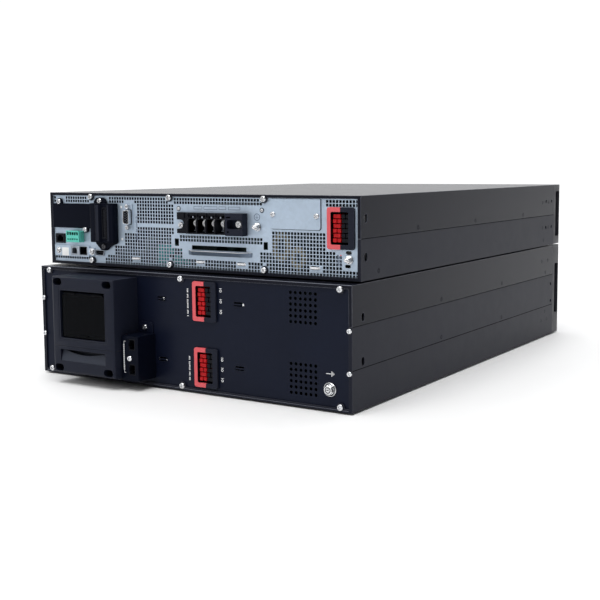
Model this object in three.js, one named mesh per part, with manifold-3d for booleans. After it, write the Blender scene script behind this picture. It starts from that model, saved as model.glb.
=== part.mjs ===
// Rack-mount uninterruptible power supply made of two stacked chassis:
// a 2U power module standing on a 3U battery module, both without rack ears.
// Millimetres, +Z up, +Y towards the connector (rear) side, fronts face -Y.
// Origin: centre of the bounding box's bottom face.
import * as THREE from "three";
import { mergeVertices } from "three/addons/utils/BufferGeometryUtils.js";
import Module from "manifold-3d";

const wasm = await Module();
wasm.setup();

// ---------------------------------------------------------------- dimensions
const HALF_W = 219;            // half of the 438 mm chassis width
const SHEET = 1.5;             // chassis steel
const GAP = 0.3;               // clearance between touching pieces
const FRONT_Y = -298.5;        // front end of both chassis
const BEZEL_Y = -325.5;        // front face of both bezels
const BATT_REAR_Y = 287.5;     // rear edge of the battery chassis
const UPS_REAR_Y = 269.5;      // rear edge of the power chassis
const BATT_Z = [2, 132];       // battery chassis, above its feet
const UPS_Z = [134, 220.5];    // power chassis, above its feet
const SEAM_LOW = 45.25;        // battery tray to middle frame
const SEAM_HIGH = 89.55;       // middle frame to battery top cover
const UPS_SEAM = 176.95;       // power tray to power top cover
const LIP = 4;                 // width of the rear border
const PANEL_IN = 1.8;          // rear panels sit this far inside the border
const PERF = 2.4;              // panel perforation height
const PITCH = 4.05;            // perforation pitch
const ENC = { x0: 66, x1: 163, z0: 13.5, z1: 125.5, y1: 325.5, wall: 2.5 };
const DOOR_AXIS = { y: 322.2, z: 107 };
const TOGGLE_AXIS = { y: 306, z: 82 };
const PORT_BOX = { x0: 40.5, x1: 64.5, z0: 11.5, z1: 62.5, y1: 315.5 };
const FAN_X = 95, FAN_Z = 177.3;
const DIAL_Z = 177.25, DIAL_R = 34;

// ------------------------------------------------------------------- helpers
function solid(geometry) {
  let g = geometry.clone();
  g.deleteAttribute("normal");
  g.deleteAttribute("uv");
  g = mergeVertices(g, 1e-4);
  return new wasm.Manifold(new wasm.Mesh({
    numProp: 3,
    vertProperties: new Float32Array(g.attributes.position.array),
    triVerts: new Uint32Array(g.index.array),
  }));
}
function geometryOf(body) {
  const mesh = body.getMesh();
  const g = new THREE.BufferGeometry();
  g.setAttribute("position", new THREE.BufferAttribute(new Float32Array(mesh.vertProperties), 3));
  g.setIndex(new THREE.BufferAttribute(new Uint32Array(mesh.triVerts), 1));
  g.computeVertexNormals();
  return g;
}
function box(x0, x1, y0, y1, z0, z1) {
  const g = new THREE.BoxGeometry(x1 - x0, y1 - y0, z1 - z0);
  g.translate((x0 + x1) / 2, (y0 + y1) / 2, (z0 + z1) / 2);
  return solid(g);
}
const mirrored = (fn) => fn(1).add(fn(-1));
const sideBox = (s, x0, x1, ...r) => (s > 0 ? box(x0, x1, ...r) : box(-x1, -x0, ...r));
function cylY(x, y0, y1, z, r, n = 16, turn = 0) {
  const g = new THREE.CylinderGeometry(r, r, y1 - y0, n);
  g.rotateY(turn);
  g.translate(x, (y0 + y1) / 2, z);
  return solid(g);
}
function cylZ(x, y, z0, z1, r, n = 16) {
  const g = new THREE.CylinderGeometry(r, r, z1 - z0, n);
  g.rotateX(Math.PI / 2);
  g.translate(x, y, (z0 + z1) / 2);
  return solid(g);
}
function cylX(x0, x1, y, z, r, n = 16) {
  const g = new THREE.CylinderGeometry(r, r, x1 - x0, n);
  g.rotateZ(Math.PI / 2);
  g.translate((x0 + x1) / 2, y, z);
  return solid(g);
}
function extrude(points, depth, m) {
  const shape = new THREE.Shape(points.map(([a, b]) => new THREE.Vector2(a, b)));
  const g = new THREE.ExtrudeGeometry(shape, { depth, bevelEnabled: false });
  g.applyMatrix4(m);
  return solid(g);
}
// outline in x,z pushed along y; in y,z along x; in x,y along z
const prismY = (pts, y0, y1) => extrude(pts, y1 - y0,
  new THREE.Matrix4().set(1, 0, 0, 0, 0, 0, -1, y1, 0, 1, 0, 0, 0, 0, 0, 1));
const prismX = (pts, x0, x1) => extrude(pts, x1 - x0,
  new THREE.Matrix4().set(0, 0, 1, x0, 1, 0, 0, 0, 0, 1, 0, 0, 0, 0, 0, 1));
const prismZ = (pts, z0, z1) => extrude(pts, z1 - z0,
  new THREE.Matrix4().set(1, 0, 0, 0, 0, 1, 0, 0, 0, 0, 1, z0, 0, 0, 0, 1));
function roundRect(a0, a1, b0, b1, r, n = 3) {
  const pts = [];
  for (const [ca, cb, t0] of [[a1 - r, b1 - r, 0], [a0 + r, b1 - r, 90], [a0 + r, b0 + r, 180], [a1 - r, b0 + r, 270]])
    for (let i = 0; i <= n; i++) {
      const t = ((t0 + (90 * i) / n) * Math.PI) / 180;
      pts.push([ca + r * Math.cos(t), cb + r * Math.sin(t)]);
    }
  return pts;
}
const join = (list) => list.reduce((a, b) => a.add(b));
const cut = (body, list) => body.subtract(join(list));

const group = new THREE.Group();
function piece(name, body, color, roughness, metalness) {
  const mesh = new THREE.Mesh(geometryOf(body),
    new THREE.MeshStandardMaterial({ color, roughness, metalness }));
  mesh.name = name;
  group.add(mesh);
}
const BLACK_STEEL = [0x2b2c33, 0.55, 0.3];
const ZINC = [0xbac6d2, 0.42, 0.75];
const BLACK_PLASTIC = [0x202126, 0.5, 0];
const SOFT_PLASTIC = [0x2f3036, 0.6, 0];
const RED_PLASTIC = [0xd9454f, 0.45, 0];
const GREEN_PLASTIC = [0x4fb493, 0.5, 0];
const BRIGHT = [0xcfd3d8, 0.28, 1];
const ALUMINIUM = [0xb6babf, 0.4, 0.9];
const BOARD = [0x1f7d78, 0.55, 0];
const CELL = [0x3a3d44, 0.6, 0];
const COPPER = [0xb98246, 0.4, 0.5];

// ------------------------------------------------------------- battery module
const BZ0 = BATT_Z[0], BZ1 = BATT_Z[1], BY = BATT_REAR_Y;
const sideHoles = (y, z) => cylX(-220, 220, y, z, 2.6, 8);
const ovals = (y, z) => prismX(roundRect(y - 3, y + 3, z - 4.6, z + 4.6, 2.9, 2), -220, 220);
const screwLug = (x, z, y0, y1) => cylY(x, y0, y1, z, 4.6, 12);
const battScrewX = [-205, 0.8, 205];

{
  const parts = [box(-HALF_W, HALF_W, FRONT_Y, BY, BZ0, BZ0 + SHEET)];
  parts.push(mirrored((s) => sideBox(s, HALF_W - SHEET, HALF_W, FRONT_Y, BY, BZ0, SEAM_LOW - 0.15)));
  parts.push(mirrored((s) => sideBox(s, HALF_W - LIP, HALF_W, BY - SHEET, BY, BZ0, SEAM_LOW - 0.15)));
  parts.push(box(-HALF_W, HALF_W, BY - SHEET, BY, BZ0, BZ0 + LIP));
  for (const x of battScrewX) parts.push(screwLug(x, 7, BY - SHEET, BY));
  for (const x of [-180, 180]) for (const y of [-240, 230]) parts.push(cylZ(x, y, 0, BZ0 + 0.7, 11, 20));
  let b = join(parts);
  b = cut(b, battScrewX.map((x) => cylY(x, BY - 3, BY + 1, 7, 2.1, 8)));
  piece("batt_base_tray", b, ...BLACK_STEEL);
}
{
  const z0 = SEAM_LOW + 0.15, z1 = SEAM_HIGH - 0.15;
  let b = join([
    mirrored((s) => sideBox(s, HALF_W - SHEET, HALF_W, FRONT_Y, BY, z0, z1)),
    mirrored((s) => sideBox(s, HALF_W - LIP, HALF_W, BY - SHEET, BY, z0, z1)),
    box(-218, 218, 258, 260, 62, 78),
    box(-218, 218, -296, -294.4, 58, 78),
  ]);
  b = cut(b, [sideHoles(-291, 76), sideHoles(-291, 51), ovals(265.5, 52.2)]);
  piece("batt_middle_frame", b, ...BLACK_STEEL);
}
{
  const z0 = SEAM_HIGH + 0.15;
  let b = join([
    box(-HALF_W, HALF_W, FRONT_Y, BY, BZ1 - SHEET, BZ1),
    mirrored((s) => sideBox(s, HALF_W - SHEET, HALF_W, FRONT_Y, BY, z0, BZ1)),
    mirrored((s) => sideBox(s, HALF_W - LIP, HALF_W, BY - SHEET, BY, z0, BZ1)),
    box(-HALF_W, HALF_W, BY - SHEET, BY, BZ1 - LIP, BZ1),
    ...battScrewX.map((x) => screwLug(x, 127.4, BY - SHEET, BY)),
  ]);
  b = cut(b, [ovals(265.5, 97.7), ...battScrewX.map((x) => cylY(x, BY - 3, BY + 1, 127.4, 2.1, 8))]);
  piece("batt_top_cover", b, ...BLACK_STEEL);
}
// rear panel: vents, connector windows, breaker and port cut-outs
const BP1 = BY - PANEL_IN, BP0 = BP1 - SHEET;
const battPorts = { a: { x0: -48.5, x1: -16.5, z0: 81.8, z1: 125.6 }, b: { x0: -49.5, x1: -17.5, z0: 8.4, z1: 52.3 } };
{
  let b = box(-217.2, 217.2, BP0, BP1, BZ0 + SHEET + GAP, BZ1 - SHEET - GAP);
  const holes = [];
  for (const zc of [105.5, 30.9]) for (let i = 0; i < 6; i++)
    holes.push(box(-174.7 + 6.1 * i - 1.75, -174.7 + 6.1 * i + 1.75, BP0 - 1, BP1 + 1, zc - 17, zc + 17));
  for (const p of Object.values(battPorts)) holes.push(box(p.x0 + 2, p.x1 - 2, BP0 - 1, BP1 + 1, p.z0 + 2, p.z1 - 2));
  holes.push(box(87.6, 141.4, BP0 - 1, BP1 + 1, 62, 102));
  holes.push(box(45, 55.5, BP0 - 1, BP1 + 1, 17, 60));
  for (const x of battScrewX) for (const z of [7, 127.4]) holes.push(cylY(x, BP0 - 1, BP1 + 1, z, 2.1, 8));
  holes.push(cylY(-192.4, BP0 - 1, BP1 + 1, 23.9, 3.4, 10));
  b = cut(b, holes);
  piece("batt_rear_panel", b, 0x1c1e2a, 0.6, 0.2);
}
for (const [nm, z, zs] of [["top", 127.4, [125.9, 130.1]], ["bottom", 7, [4.3, 9.6]]]) {
  piece(`batt_panel_screws_${nm}`, join([
    box(-210, 210, BP0 - 2.6, BP0 - GAP, zs[0], zs[1]),
    ...battScrewX.map((x) => cylY(x, BP0 - 1, BY + 1, z, 1.7, 8)),
    ...battScrewX.map((x) => cylY(x, BY + GAP, BY + 2.1, z, 3.4, 14)),
  ]), ...BRIGHT);
}
// front plate with two hand windows over the battery trays
{
  let b = box(-217.2, 217.2, -298.2, -296.7, BZ0 + SHEET + GAP, BZ1 - SHEET - GAP);
  b = cut(b, [prismY(roundRect(-150, -60, 96, 120, 8), -299, -296), prismY(roundRect(60, 150, 96, 120, 8), -299, -296)]);
  piece("batt_front_plate", b, ...BLACK_STEEL);
}
for (const [nm, s] of [["left", 1], ["right", -1]]) {
  const flip = (a, b) => (s > 0 ? [a, b] : [-b, -a]);
  const X = (a, b, ...r) => box(...flip(a, b), ...r);
  piece(`battery_tray_${nm}`, join([
    X(5, 208, -290, 190, 4, 5.2), X(5, 6.2, -290, 190, 4, 30), X(206.8, 208, -290, 190, 4, 30), X(5, 208, -290, -288.8, 4, 56),
  ]), ...ZINC);
  const blocks = [X(9, 204, -285, 168, 8, 94)];
  const cuts = [];
  for (let c = 1; c < 3; c++) cuts.push(X(9 + 65 * c - 0.8, 9 + 65 * c + 0.8, -286, 169, 90, 99));
  for (let r = 1; r < 3; r++) cuts.push(X(8, 205, -285 + 151 * r - 0.8, -285 + 151 * r + 0.8, 90, 99));
  let b = join(blocks).add(X(9, 204, -285, 168, 5.6, 99.4));
  b = cut(b, cuts);
  const tabs = [];
  for (let c = 0; c < 3; c++) for (let r = 0; r < 3; r++) {
    const xc = 9 + 65 * c + 32.5, yc = -285 + 151 * r;
    tabs.push(X(xc - 24, xc - 18, yc + 8, yc + 16, 99, 105), X(xc + 18, xc + 24, yc + 8, yc + 16, 99, 105));
  }
  piece(`battery_pack_${nm}`, join([b, ...tabs]), ...CELL);
}
{
  const parts = [box(-150, 150, 215, 216.6, 20, 112)];
  for (let i = 0; i < 4; i++) parts.push(cylY(-120 + 34 * i, 200, 215.5, 90, 9, 14));
  parts.push(box(20, 70, 199, 215.5, 80, 104), box(84, 134, 204, 215.5, 80, 104));
  for (let i = 0; i < 3; i++) parts.push(box(-110 + 80 * i, -80 + 80 * i, 203, 215.5, 34, 48));
  parts.push(box(-140, -132, 215, 230, 20, 21.6), box(132, 140, 215, 230, 20, 21.6));
  piece("battery_fuse_board", join(parts), ...BOARD);
}
// breaker enclosure: hollow box with a window recess and a finger recess
const EY0 = BP1 + GAP;
{
  const { x0, x1, z0, z1, y1, wall } = ENC;
  let b = prismZ([[x0, EY0], [x1, EY0], [x1, y1 - 3], [x1 - 3, y1], [x0 + 3, y1], [x0, y1 - 3]], z0, z1);
  b = b.intersect(prismX([[EY0 - 1, z0], [y1 - 3, z0], [y1, z0 + 3], [y1, z1 - 3], [y1 - 3, z1], [EY0 - 1, z1]], x0 - 1, x1 + 1));
  const cuts = [
    box(80, 149.5, EY0 - 1, y1 + 1, 54.7, 110),
    box(70, 159, EY0 - 1, 290.5, 50, 114),
    box(x0 + wall, x1 - wall, EY0 - 1, y1 - 17, 17, 45),
    // the finger recess below the window has an arched upper edge
    prismY([[80, 27.5], [150, 27.5], [150, 36], [142, 39], [129, 41.2], [115, 42], [101, 41.2], [88, 39], [80, 36]], y1 - 12, y1 + 1),
  ];
  for (const x of [76.5, 153.5]) for (const z of [17.8, 120]) cuts.push(prismY(roundRect(x - 5.2, x + 5.2, z - 3.2, z + 3.2, 3, 3), y1 - 8, y1 + 1));
  b = cut(b, cuts);
  // ears that carry the door pin
  b = cut(b, [cylX(78, 151.5, DOOR_AXIS.y, DOOR_AXIS.z, 1.2, 10)]);
  piece("breaker_enclosure", b, ...SOFT_PLASTIC);
}
piece("breaker_door_pin", cylX(78.4, 151.1, DOOR_AXIS.y, DOOR_AXIS.z, 0.85, 10), ...BRIGHT);
{
  const { y, z } = DOOR_AXIS;
  let b = join([
    box(80.6, 148.9, y - 1.2, y + 1.3, 55.6, z),
    cylX(84, 145.5, y, z, 2.3, 16),
    box(108, 121.5, y + 1, y + 2.7, 57.2, 59.4),
  ]);
  b = cut(b, [
    box(79, 84, y - 3, y + 3, z - 2.6, z + 3), box(145.5, 150, y - 3, y + 3, z - 2.6, z + 3),
    cylX(79, 151, y, z, 1.25, 12),
  ]);
  piece("breaker_door", b, 0x303438, 0.12, 0);
}
{
  const { y, z } = TOGGLE_AXIS;
  let b = join([box(87, 142, 292, 302.5, 58, 106), box(89, 140, 272, 292.5, 63, 101), box(87, 142, 300, 309, 69, 95)]);
  b = cut(b, [cylX(92.6, 136.4, y, z, 6.8, 20)]);
  piece("breaker_body", b, ...BLACK_PLASTIC);
  const lever = new THREE.BoxGeometry(42, 9, 4);
  lever.translate(114.5, 9.3, 0);
  lever.rotateX((25 * Math.PI) / 180);
  lever.translate(0, y, z);
  piece("breaker_toggle", cylX(93, 136, y, z, 6.3, 18).add(solid(lever)), 0x50535a, 0.5, 0);
}
// signalling port box with two modular jacks
const jacks = { upper: [45.7, 60], lower: [17.6, 31.6] };
{
  const P = PORT_BOX;
  let b = join([box(P.x0, P.x1, EY0, P.y1, P.z0, P.z1), box(43, 61.5, EY0, EY0 + 1.6, P.z1 - 1, 75.5)]);
  b = cut(b, [
    box(P.x0 + 2, P.x1 - 2, EY0 - 1, P.y1 - 2.2, P.z0 + 2, P.z1 - 2),
    ...Object.values(jacks).map(([z0, z1]) => box(44.4, 55.1, EY0 - 1, P.y1 + 1, z0, z1)),
    cylY(54, EY0 - 1, EY0 + 3, 69, 1.9, 8),
  ]);
  piece("port_box", b, ...BLACK_STEEL);
  // both jacks sit on one small board inside the box
  let j = box(44.8, 54.7, P.y1 - 21, P.y1 - 19.4, 18.2, 59.4);
  for (const [z0, z1] of Object.values(jacks)) j = j.add(box(44.7, 54.8, P.y1 - 19.6, P.y1 - 0.4, z0 + GAP, z1 - GAP));
  for (const [z0, z1] of Object.values(jacks)) j = cut(j, [box(46, 53.5, P.y1 - 13, P.y1 + 1, z0 + 1.7, z1 - 1.7)]);
  piece("port_jacks", j, ...BLACK_PLASTIC);
}
// two-pole battery connectors, one red and one black half each
function twoPole(prefix, p, panelFace, proud, depth) {
  const xm = (p.x0 + p.x1) / 2, y1 = panelFace + proud;
  const outline = (a, b) => prismY([[a, p.z0], [b, p.z0], [b, p.z1], [a, p.z1]], panelFace + GAP, y1);
  for (const [nm, a, b, mat] of [["red", xm + 0.15, p.x1, RED_PLASTIC], ["black", p.x0, xm - 0.15, BLACK_PLASTIC]]) {
    const ax = nm === "red" ? a : a + 2.4, bx = nm === "red" ? b - 2.4 : b;
    let h = outline(a, b).add(box(ax, bx, panelFace - depth, panelFace + 1, p.z0 + 2.4, p.z1 - 2.4));
    const ca = nm === "red" ? a - 1 : a + 6.4, cb = nm === "red" ? b - 6.4 : b + 1;
    h = cut(h, [box(ca, cb, panelFace - depth + 4, y1 + 1, p.z0 + 5, p.z1 - 5)]);
    piece(`${prefix}_${nm}`, h, ...mat);
  }
}
twoPole("battery_port_a", battPorts.a, BP1, 3.2, 22);
twoPole("battery_port_b", battPorts.b, BP1, 3.2, 22);
{
  const hex = cylY(-192.4, BP1 + 1.9, BP1 + 6, 23.9, 5.6, 6);
  piece("batt_ground_bolt", join([cylY(-192.4, BP1 + GAP, BP1 + 2, 23.9, 7.6, 24), hex, cylY(-192.4, BP0 - 9, BP1 + 1, 23.9, 3, 10)]), ...BRIGHT);
}

// --------------------------------------------------------------- power module
const UZ0 = UPS_Z[0], UZ1 = UPS_Z[1], UY = UPS_REAR_Y, U = UZ0;
const UP1 = UY - PANEL_IN, UP0 = UP1 - SHEET;
const upsScrewX = [151.2, 30.3, -100];
{
  const parts = [box(-HALF_W, HALF_W, FRONT_Y, UY, UZ0, UZ0 + SHEET)];
  parts.push(mirrored((s) => sideBox(s, HALF_W - SHEET, HALF_W, FRONT_Y, UY, UZ0, UPS_SEAM - 0.15)));
  parts.push(mirrored((s) => sideBox(s, HALF_W - LIP, HALF_W, UY - SHEET, UY, UZ0, UPS_SEAM - 0.15)));
  parts.push(box(-HALF_W, HALF_W, UY - SHEET, UY, UZ0, UZ0 + 3.2));
  for (const x of upsScrewX) parts.push(screwLug(x, 140, UY - SHEET, UY));
  for (const x of [-180, 180]) for (const y of [-240, 215]) parts.push(cylZ(x, y, BZ1 + GAP, UZ0 + 0.7, 11, 20));
  const b = cut(join(parts), [sideHoles(-289.5, 160), sideHoles(-266.5, 160), ovals(259.5, 158.3),
    ...upsScrewX.map((x) => cylY(x, UY - 3, UY + 1, 140, 2.1, 8))]);
  piece("ups_base_tray", b, ...BLACK_STEEL);
}
{
  const z0 = UPS_SEAM + 0.15;
  const b = cut(join([
    box(-HALF_W, HALF_W, FRONT_Y, UY, UZ1 - SHEET, UZ1),
    mirrored((s) => sideBox(s, HALF_W - SHEET, HALF_W, FRONT_Y, UY, z0, UZ1)),
    mirrored((s) => sideBox(s, HALF_W - LIP, HALF_W, UY - SHEET, UY, z0, UZ1)),
    box(-HALF_W, HALF_W, UY - SHEET, UY, UZ1 - 3.4, UZ1),
    ...upsScrewX.map((x) => screwLug(x, 215.8, UY - SHEET, UY)),
  ]), [sideHoles(-289.5, 197), sideHoles(-266.5, 197), ovals(259.5, 197.5),
    ...upsScrewX.map((x) => cylY(x, UY - 3, UY + 1, 215.8, 2.1, 8))]);
  piece("ups_top_cover", b, ...BLACK_STEEL);
}
const upsPort = { x0: -211.6, x1: -179.6, z0: 165.6, z1: 208.6 };
{
  let b = box(-217.2, 217.2, UP0, UP1, UZ0 + SHEET + GAP, UZ1 - SHEET - GAP);
  const rows = (xa, xb, z0, n) => Array.from({ length: n }, (_, i) =>
    box(xa, xb, UP0 - 1, UP1 + 1, z0 + PITCH * i, z0 + PITCH * i + PERF));
  const c = [
    ...rows(160, 213, 210.3, 2), ...rows(38, 143, 210.3, 2), ...rows(-92, 22, 210.3, 2), ...rows(-213, -176, 210.3, 2),
    ...rows(25.3, 79.4, 187, 6), ...rows(25.5, 80, 176.7, 2), ...rows(29.5, 100, 160.8, 4),
    ...rows(-95, 15, 167.9, 2), ...rows(-175, -109, 162.5, 5),
    ...rows(38, 126, 144.6, 3), ...rows(-76, -20, 144.6, 2), ...rows(-213, -108, 144.6, 3),
    box(159.8, 211, UP0 - 1, UP1 + 1, 145, 156.2),            // card opening
    box(88.2, 96.4, UP0 - 1, UP1 + 1, 184.2, 201.2),        // serial port
    box(-52, 1, UP0 - 1, UP1 + 1, 179, 197.5),              // terminal block body
    box(upsPort.x0 + 2, upsPort.x1 - 2, UP0 - 1, UP1 + 1, upsPort.z0 + 2, upsPort.z1 - 2),
    box(-160, -118, UP0 - 1, UP1 + 1, 188, 207.5),          // option slot
    box(165, 205, UP0 - 1, UP1 + 1, 184, 203),              // behind the flat cover
    box(116, 140, UP0 - 1, UP1 + 1, 166, 200),              // behind the ribbed cover
    box(197.4, 210.8, UP0 - 1, UP1 + 1, 159.8, 170),        // modular jack
    box(166.3, 185.1, UP0 - 1, UP1 + 1, 162.6, 173.2),      // signal header
    box(-75.6, -0.2, UP0 - 1, UP1 + 1, 158.4, 162),         // slot over the pull bar
    box(18.3, 24.5, UP0 - 1, UP1 + 1, 161.7, 169.9),
    box(-104, -98.2, UP0 - 1, UP1 + 1, 161.7, 166.4),
    cylY(-91, UP0 - 1, UP1 + 1, 186, 2.4, 8), cylY(-204.5, UP0 - 1, UP1 + 1, 155.4, 2.4, 8),
    ...upsScrewX.flatMap((x) => [140, 215.8].map((z) => cylY(x, UP0 - 1, UP1 + 1, z, 2.1, 8))),
  ];
  b = cut(b, c);
  piece("ups_rear_panel", b, ...ZINC);
}
for (const [nm, z, zs] of [["top", 215.8, [213.4, 218.5]], ["bottom", 140, [137, 142.4]]]) {
  piece(`ups_panel_screws_${nm}`, join([
    box(-112, 162, UP0 - 2.6, UP0 - GAP, zs[0], zs[1]),
    ...upsScrewX.map((x) => cylY(x, UP0 - 1, UY + 1, z, 1.7, 8)),
    ...upsScrewX.map((x) => cylY(x, UY + GAP, UY + 2.1, z, 3.6, 14)),
  ]), ...BRIGHT);
}
const PY = UP1 + GAP;    // back face of everything mounted on the rear panel
// flat cover over the unused input position, with two diagonal screw tabs
piece("flat_cover_plate", cut(join([
  box(149.4, 213.8, PY, PY + 2.8, 178, 207.3), cylY(203.2, PY, PY + 2.8, 208.8, 4.8, 14), cylY(160.4, PY, PY + 2.8, 176.9, 4.6, 14),
]), [cylY(203.2, PY - 1, PY + 4, 209.8, 1.7, 8), cylY(160.4, PY - 1, PY + 4, 176, 1.7, 8)]), ...SOFT_PLASTIC);
// moulded cover with vertical ribs over the inlet
piece("ribbed_cover", cut(join([
  prismZ([[109.4, PY], [146.3, PY], [146.3, PY + 8.4], [144.5, PY + 9.4], [137.5, PY + 9.4], [136.6, PY + 10.2], [130.4, PY + 10.2],
    [129.4, PY + 9.2], [128.6, PY + 6.6], [119.8, PY + 6.6], [118.8, PY + 9.4], [115.4, PY + 10.2], [111, PY + 9.2], [109.4, PY + 8.2]], 162.5, 208.4),
  prismY([[111, 163.5], [144, 163.5], [144, 161], [137.5, 154.4], [124.5, 152.6], [118, 158]], PY, PY + 2.6),
  prismY([[125, 207], [146, 207], [146, 210], [141.5, 215.2], [130.5, 215.2], [125, 211]], PY, PY + 2.6),
]), [cylY(135.4, PY - 1, PY + 4, 211.2, 1.7, 8), cylY(130.4, PY - 1, PY + 4, 157, 1.7, 8)]), ...SOFT_PLASTIC);
// alarm jack
{
  let j = join([box(196.4, 211.8, PY, PY + 1.6, 159.1, 170.6), box(197.7, 210.5, 250, PY + 1, 160.1, 169.7)]);
  j = cut(j, [box(199, 209.2, 256, PY + 3, 161.2, 168.6)]);
  piece("alarm_jack", j, ...BLACK_PLASTIC);
}
// pluggable signal terminal: fixed header and removable plug
{
  let h = join([box(165, 186.4, PY, PY + 1.4, 161, 174.7), box(166.6, 184.8, 252, PY + 1, 162.9, 172.9)]);
  h = cut(h, [box(167.9, 183.5, 258, PY + 3, 164.1, 171.7)]);
  piece("signal_header", h, ...GREEN_PLASTIC);
  const y0 = PY + 1.7;
  let p = join([box(165, 186.4, y0, y0 + 7.4, 161.2, 174.7), box(168.3, 183.1, 258.4, y0 + 1, 164.5, 171.3)]);
  const holes = [];
  for (let i = 0; i < 5; i++) holes.push(box(166.4 + 3.9 * i, 169.4 + 3.9 * i, y0 + 2.5, y0 + 9, 170, 173.2));
  p = cut(p, holes);
  piece("signal_plug", p, ...GREEN_PLASTIC);
}
// communication card: face plate, board and its sockets
{
  let c = join([
    box(156.4, 214.2, PY, PY + 1.2, 143.2, 156.9), box(147.4, 157, PY, PY + 1.2, 145.8, 154.6),
    box(162, 209, 200, PY + 0.5, 146, 147.6),
    box(176, 186, 250, PY + 0.5, 146, 155), box(160.2, 172.4, 248, PY + 0.5, 145.8, 155.8),
    box(190, 207, 206, 232, 147, 152), box(165, 180, 210, 226, 147, 150.5),
  ]);
  c = cut(c, [box(177, 185, 255, PY + 3, 147, 154), box(161.2, 171.4, 253, PY + 3, 147, 154.8)]);
  piece("comms_card", c, ...ZINC);
}
// nine-way serial port, long side vertical
piece("serial_port", cut(join([
  box(86, 98.6, PY, PY + 0.9, 177.4, 208.2),
  prismY(roundRect(87.6, 97, 184.2, 201.4, 2.4, 3), PY + 0.5, PY + 6.2),
  prismY(roundRect(88.6, 96, 185, 200.8, 2, 2), 256, PY + 1),
  cylY(92.3, PY + 0.5, PY + 5, 180.6, 2.9, 6), cylY(92.3, PY + 0.5, PY + 5, 205, 2.9, 6),
]), [prismY(roundRect(88.4, 96.2, 185, 200.6, 2, 3), PY + 4.4, PY + 7)]), ...BRIGHT);
// output terminal block: four wells between barrier walls, and its screwed cover
const wellX = [-4.9, -18.9, -32.9, -46.9];
{
  const z0 = 176.4, z1 = 199.9;
  let b = join([box(-54.4, 3, PY, PY + 9.4, z0, z1), box(2, 18.4, PY, PY + 3, z0, z1), box(-50, -1, 250, PY + 1, 181, 195.5)]);
  b = cut(b, [
    ...wellX.map((x) => box(x - 6, x + 6, PY + 2.5, PY + 11, z0 + 2.2, z1 - 7.4)),
    cylY(12.9, PY - 1, PY + 5, 186.8, 5.4, 18), box(12.9, 20, PY - 1, PY + 5, 181.4, 192.2),
  ]);
  b = join([b, ...wellX.map((x) => box(x - 3.8, x + 3.8, PY + 2, PY + 3.4, z0 + 5, z1 - 10))]);
  piece("terminal_block", b, ...BLACK_PLASTIC);
  piece("terminal_cover", cut(box(-77.8, -54.8, PY, PY + 10, 175.9, 200.2),
    [cylY(-66.2, PY + 6, PY + 11, 188.6, 5.4, 18)]), ...SOFT_PLASTIC);
}
twoPole("ups_battery_port", upsPort, UP1, 3.2, 22);
for (const [nm, x, z] of [["ups_ground_stud", -91, 186], ["aux_ground_stud", -204.5, 155.4]]) {
  piece(nm, join([cylY(x, PY, PY + 1.4, z, 5, 18), cylY(x, PY + 1.3, PY + 4.3, z, 3.9, 6), cylY(x, 256, PY + 8.5, z, 2, 10)]), ...BRIGHT);
}
// blanking plate of the option slot
piece("option_slot_cover", cut(box(-171, -108.6, PY, PY + 1.2, 184.5, 209.6),
  [cylY(-110.9, PY - 1, PY + 3, 199.8, 1.6, 8), cylY(-166.3, PY - 1, PY + 3, 198.8, 1.6, 8)]), ...ZINC);
// pull bar for the cable tie: bent strip standing off the panel
{
  const y1 = UP1 + 10.5;
  piece("pull_bar", prismZ([[8, PY], [8, PY + 1.4], [1.6, PY + 1.4], [-7.6, y1], [-72.4, y1], [-81.6, PY + 1.4], [-88, PY + 1.4],
    [-88, PY], [-80.6, PY], [-71.8, y1 - 1.4], [-8.2, y1 - 1.4], [0.6, PY]], 152.6, 157.6), ...ZINC);
}
// front plate and two axial fans
{
  let b = box(-217.2, 217.2, -298.2, -296.7, UZ0 + SHEET + GAP, UZ1 - SHEET - GAP);
  b = cut(b, [cylY(FAN_X, -299, -296, FAN_Z, 38.2, 28), cylY(-FAN_X, -299, -296, FAN_Z, 38.2, 28)]);
  piece("ups_front_plate", b, ...BLACK_STEEL);
}
for (const [nm, s] of [["left", 1], ["right", -1]]) {
  const x = FAN_X * s;
  let f = box(x - 40, x + 40, -296.2, -271.2, FAN_Z - 40, FAN_Z + 40);
  f = cut(f, [cylY(x, -297, -270, FAN_Z, 38.2, 28)]);
  const arms = [cylY(x, -274.4, -271.2, FAN_Z, 17, 18)];
  for (let i = 0; i < 3; i++) {
    const g = new THREE.BoxGeometry(28, 3.2, 4);
    g.translate(26, 0, 0);
    g.rotateY((i * 2 * Math.PI) / 3 + 0.5);
    g.translate(x, -272.8, FAN_Z);
    arms.push(solid(g));
  }
  piece(`fan_frame_${nm}`, join([f, ...arms]), ...BLACK_PLASTIC);
  const blades = [cylY(x, -293.6, -275.4, FAN_Z, 17, 20)];
  for (let i = 0; i < 7; i++) {
    const g = new THREE.BoxGeometry(21.5, 1.6, 17);
    g.rotateX(0.72);
    g.translate(26, 0, 0);
    g.rotateY((i * 2 * Math.PI) / 7);
    g.translate(x, -284.5, FAN_Z);
    blades.push(solid(g));
  }
  piece(`fan_rotor_${nm}`, join(blades), ...SOFT_PLASTIC);
}
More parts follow.
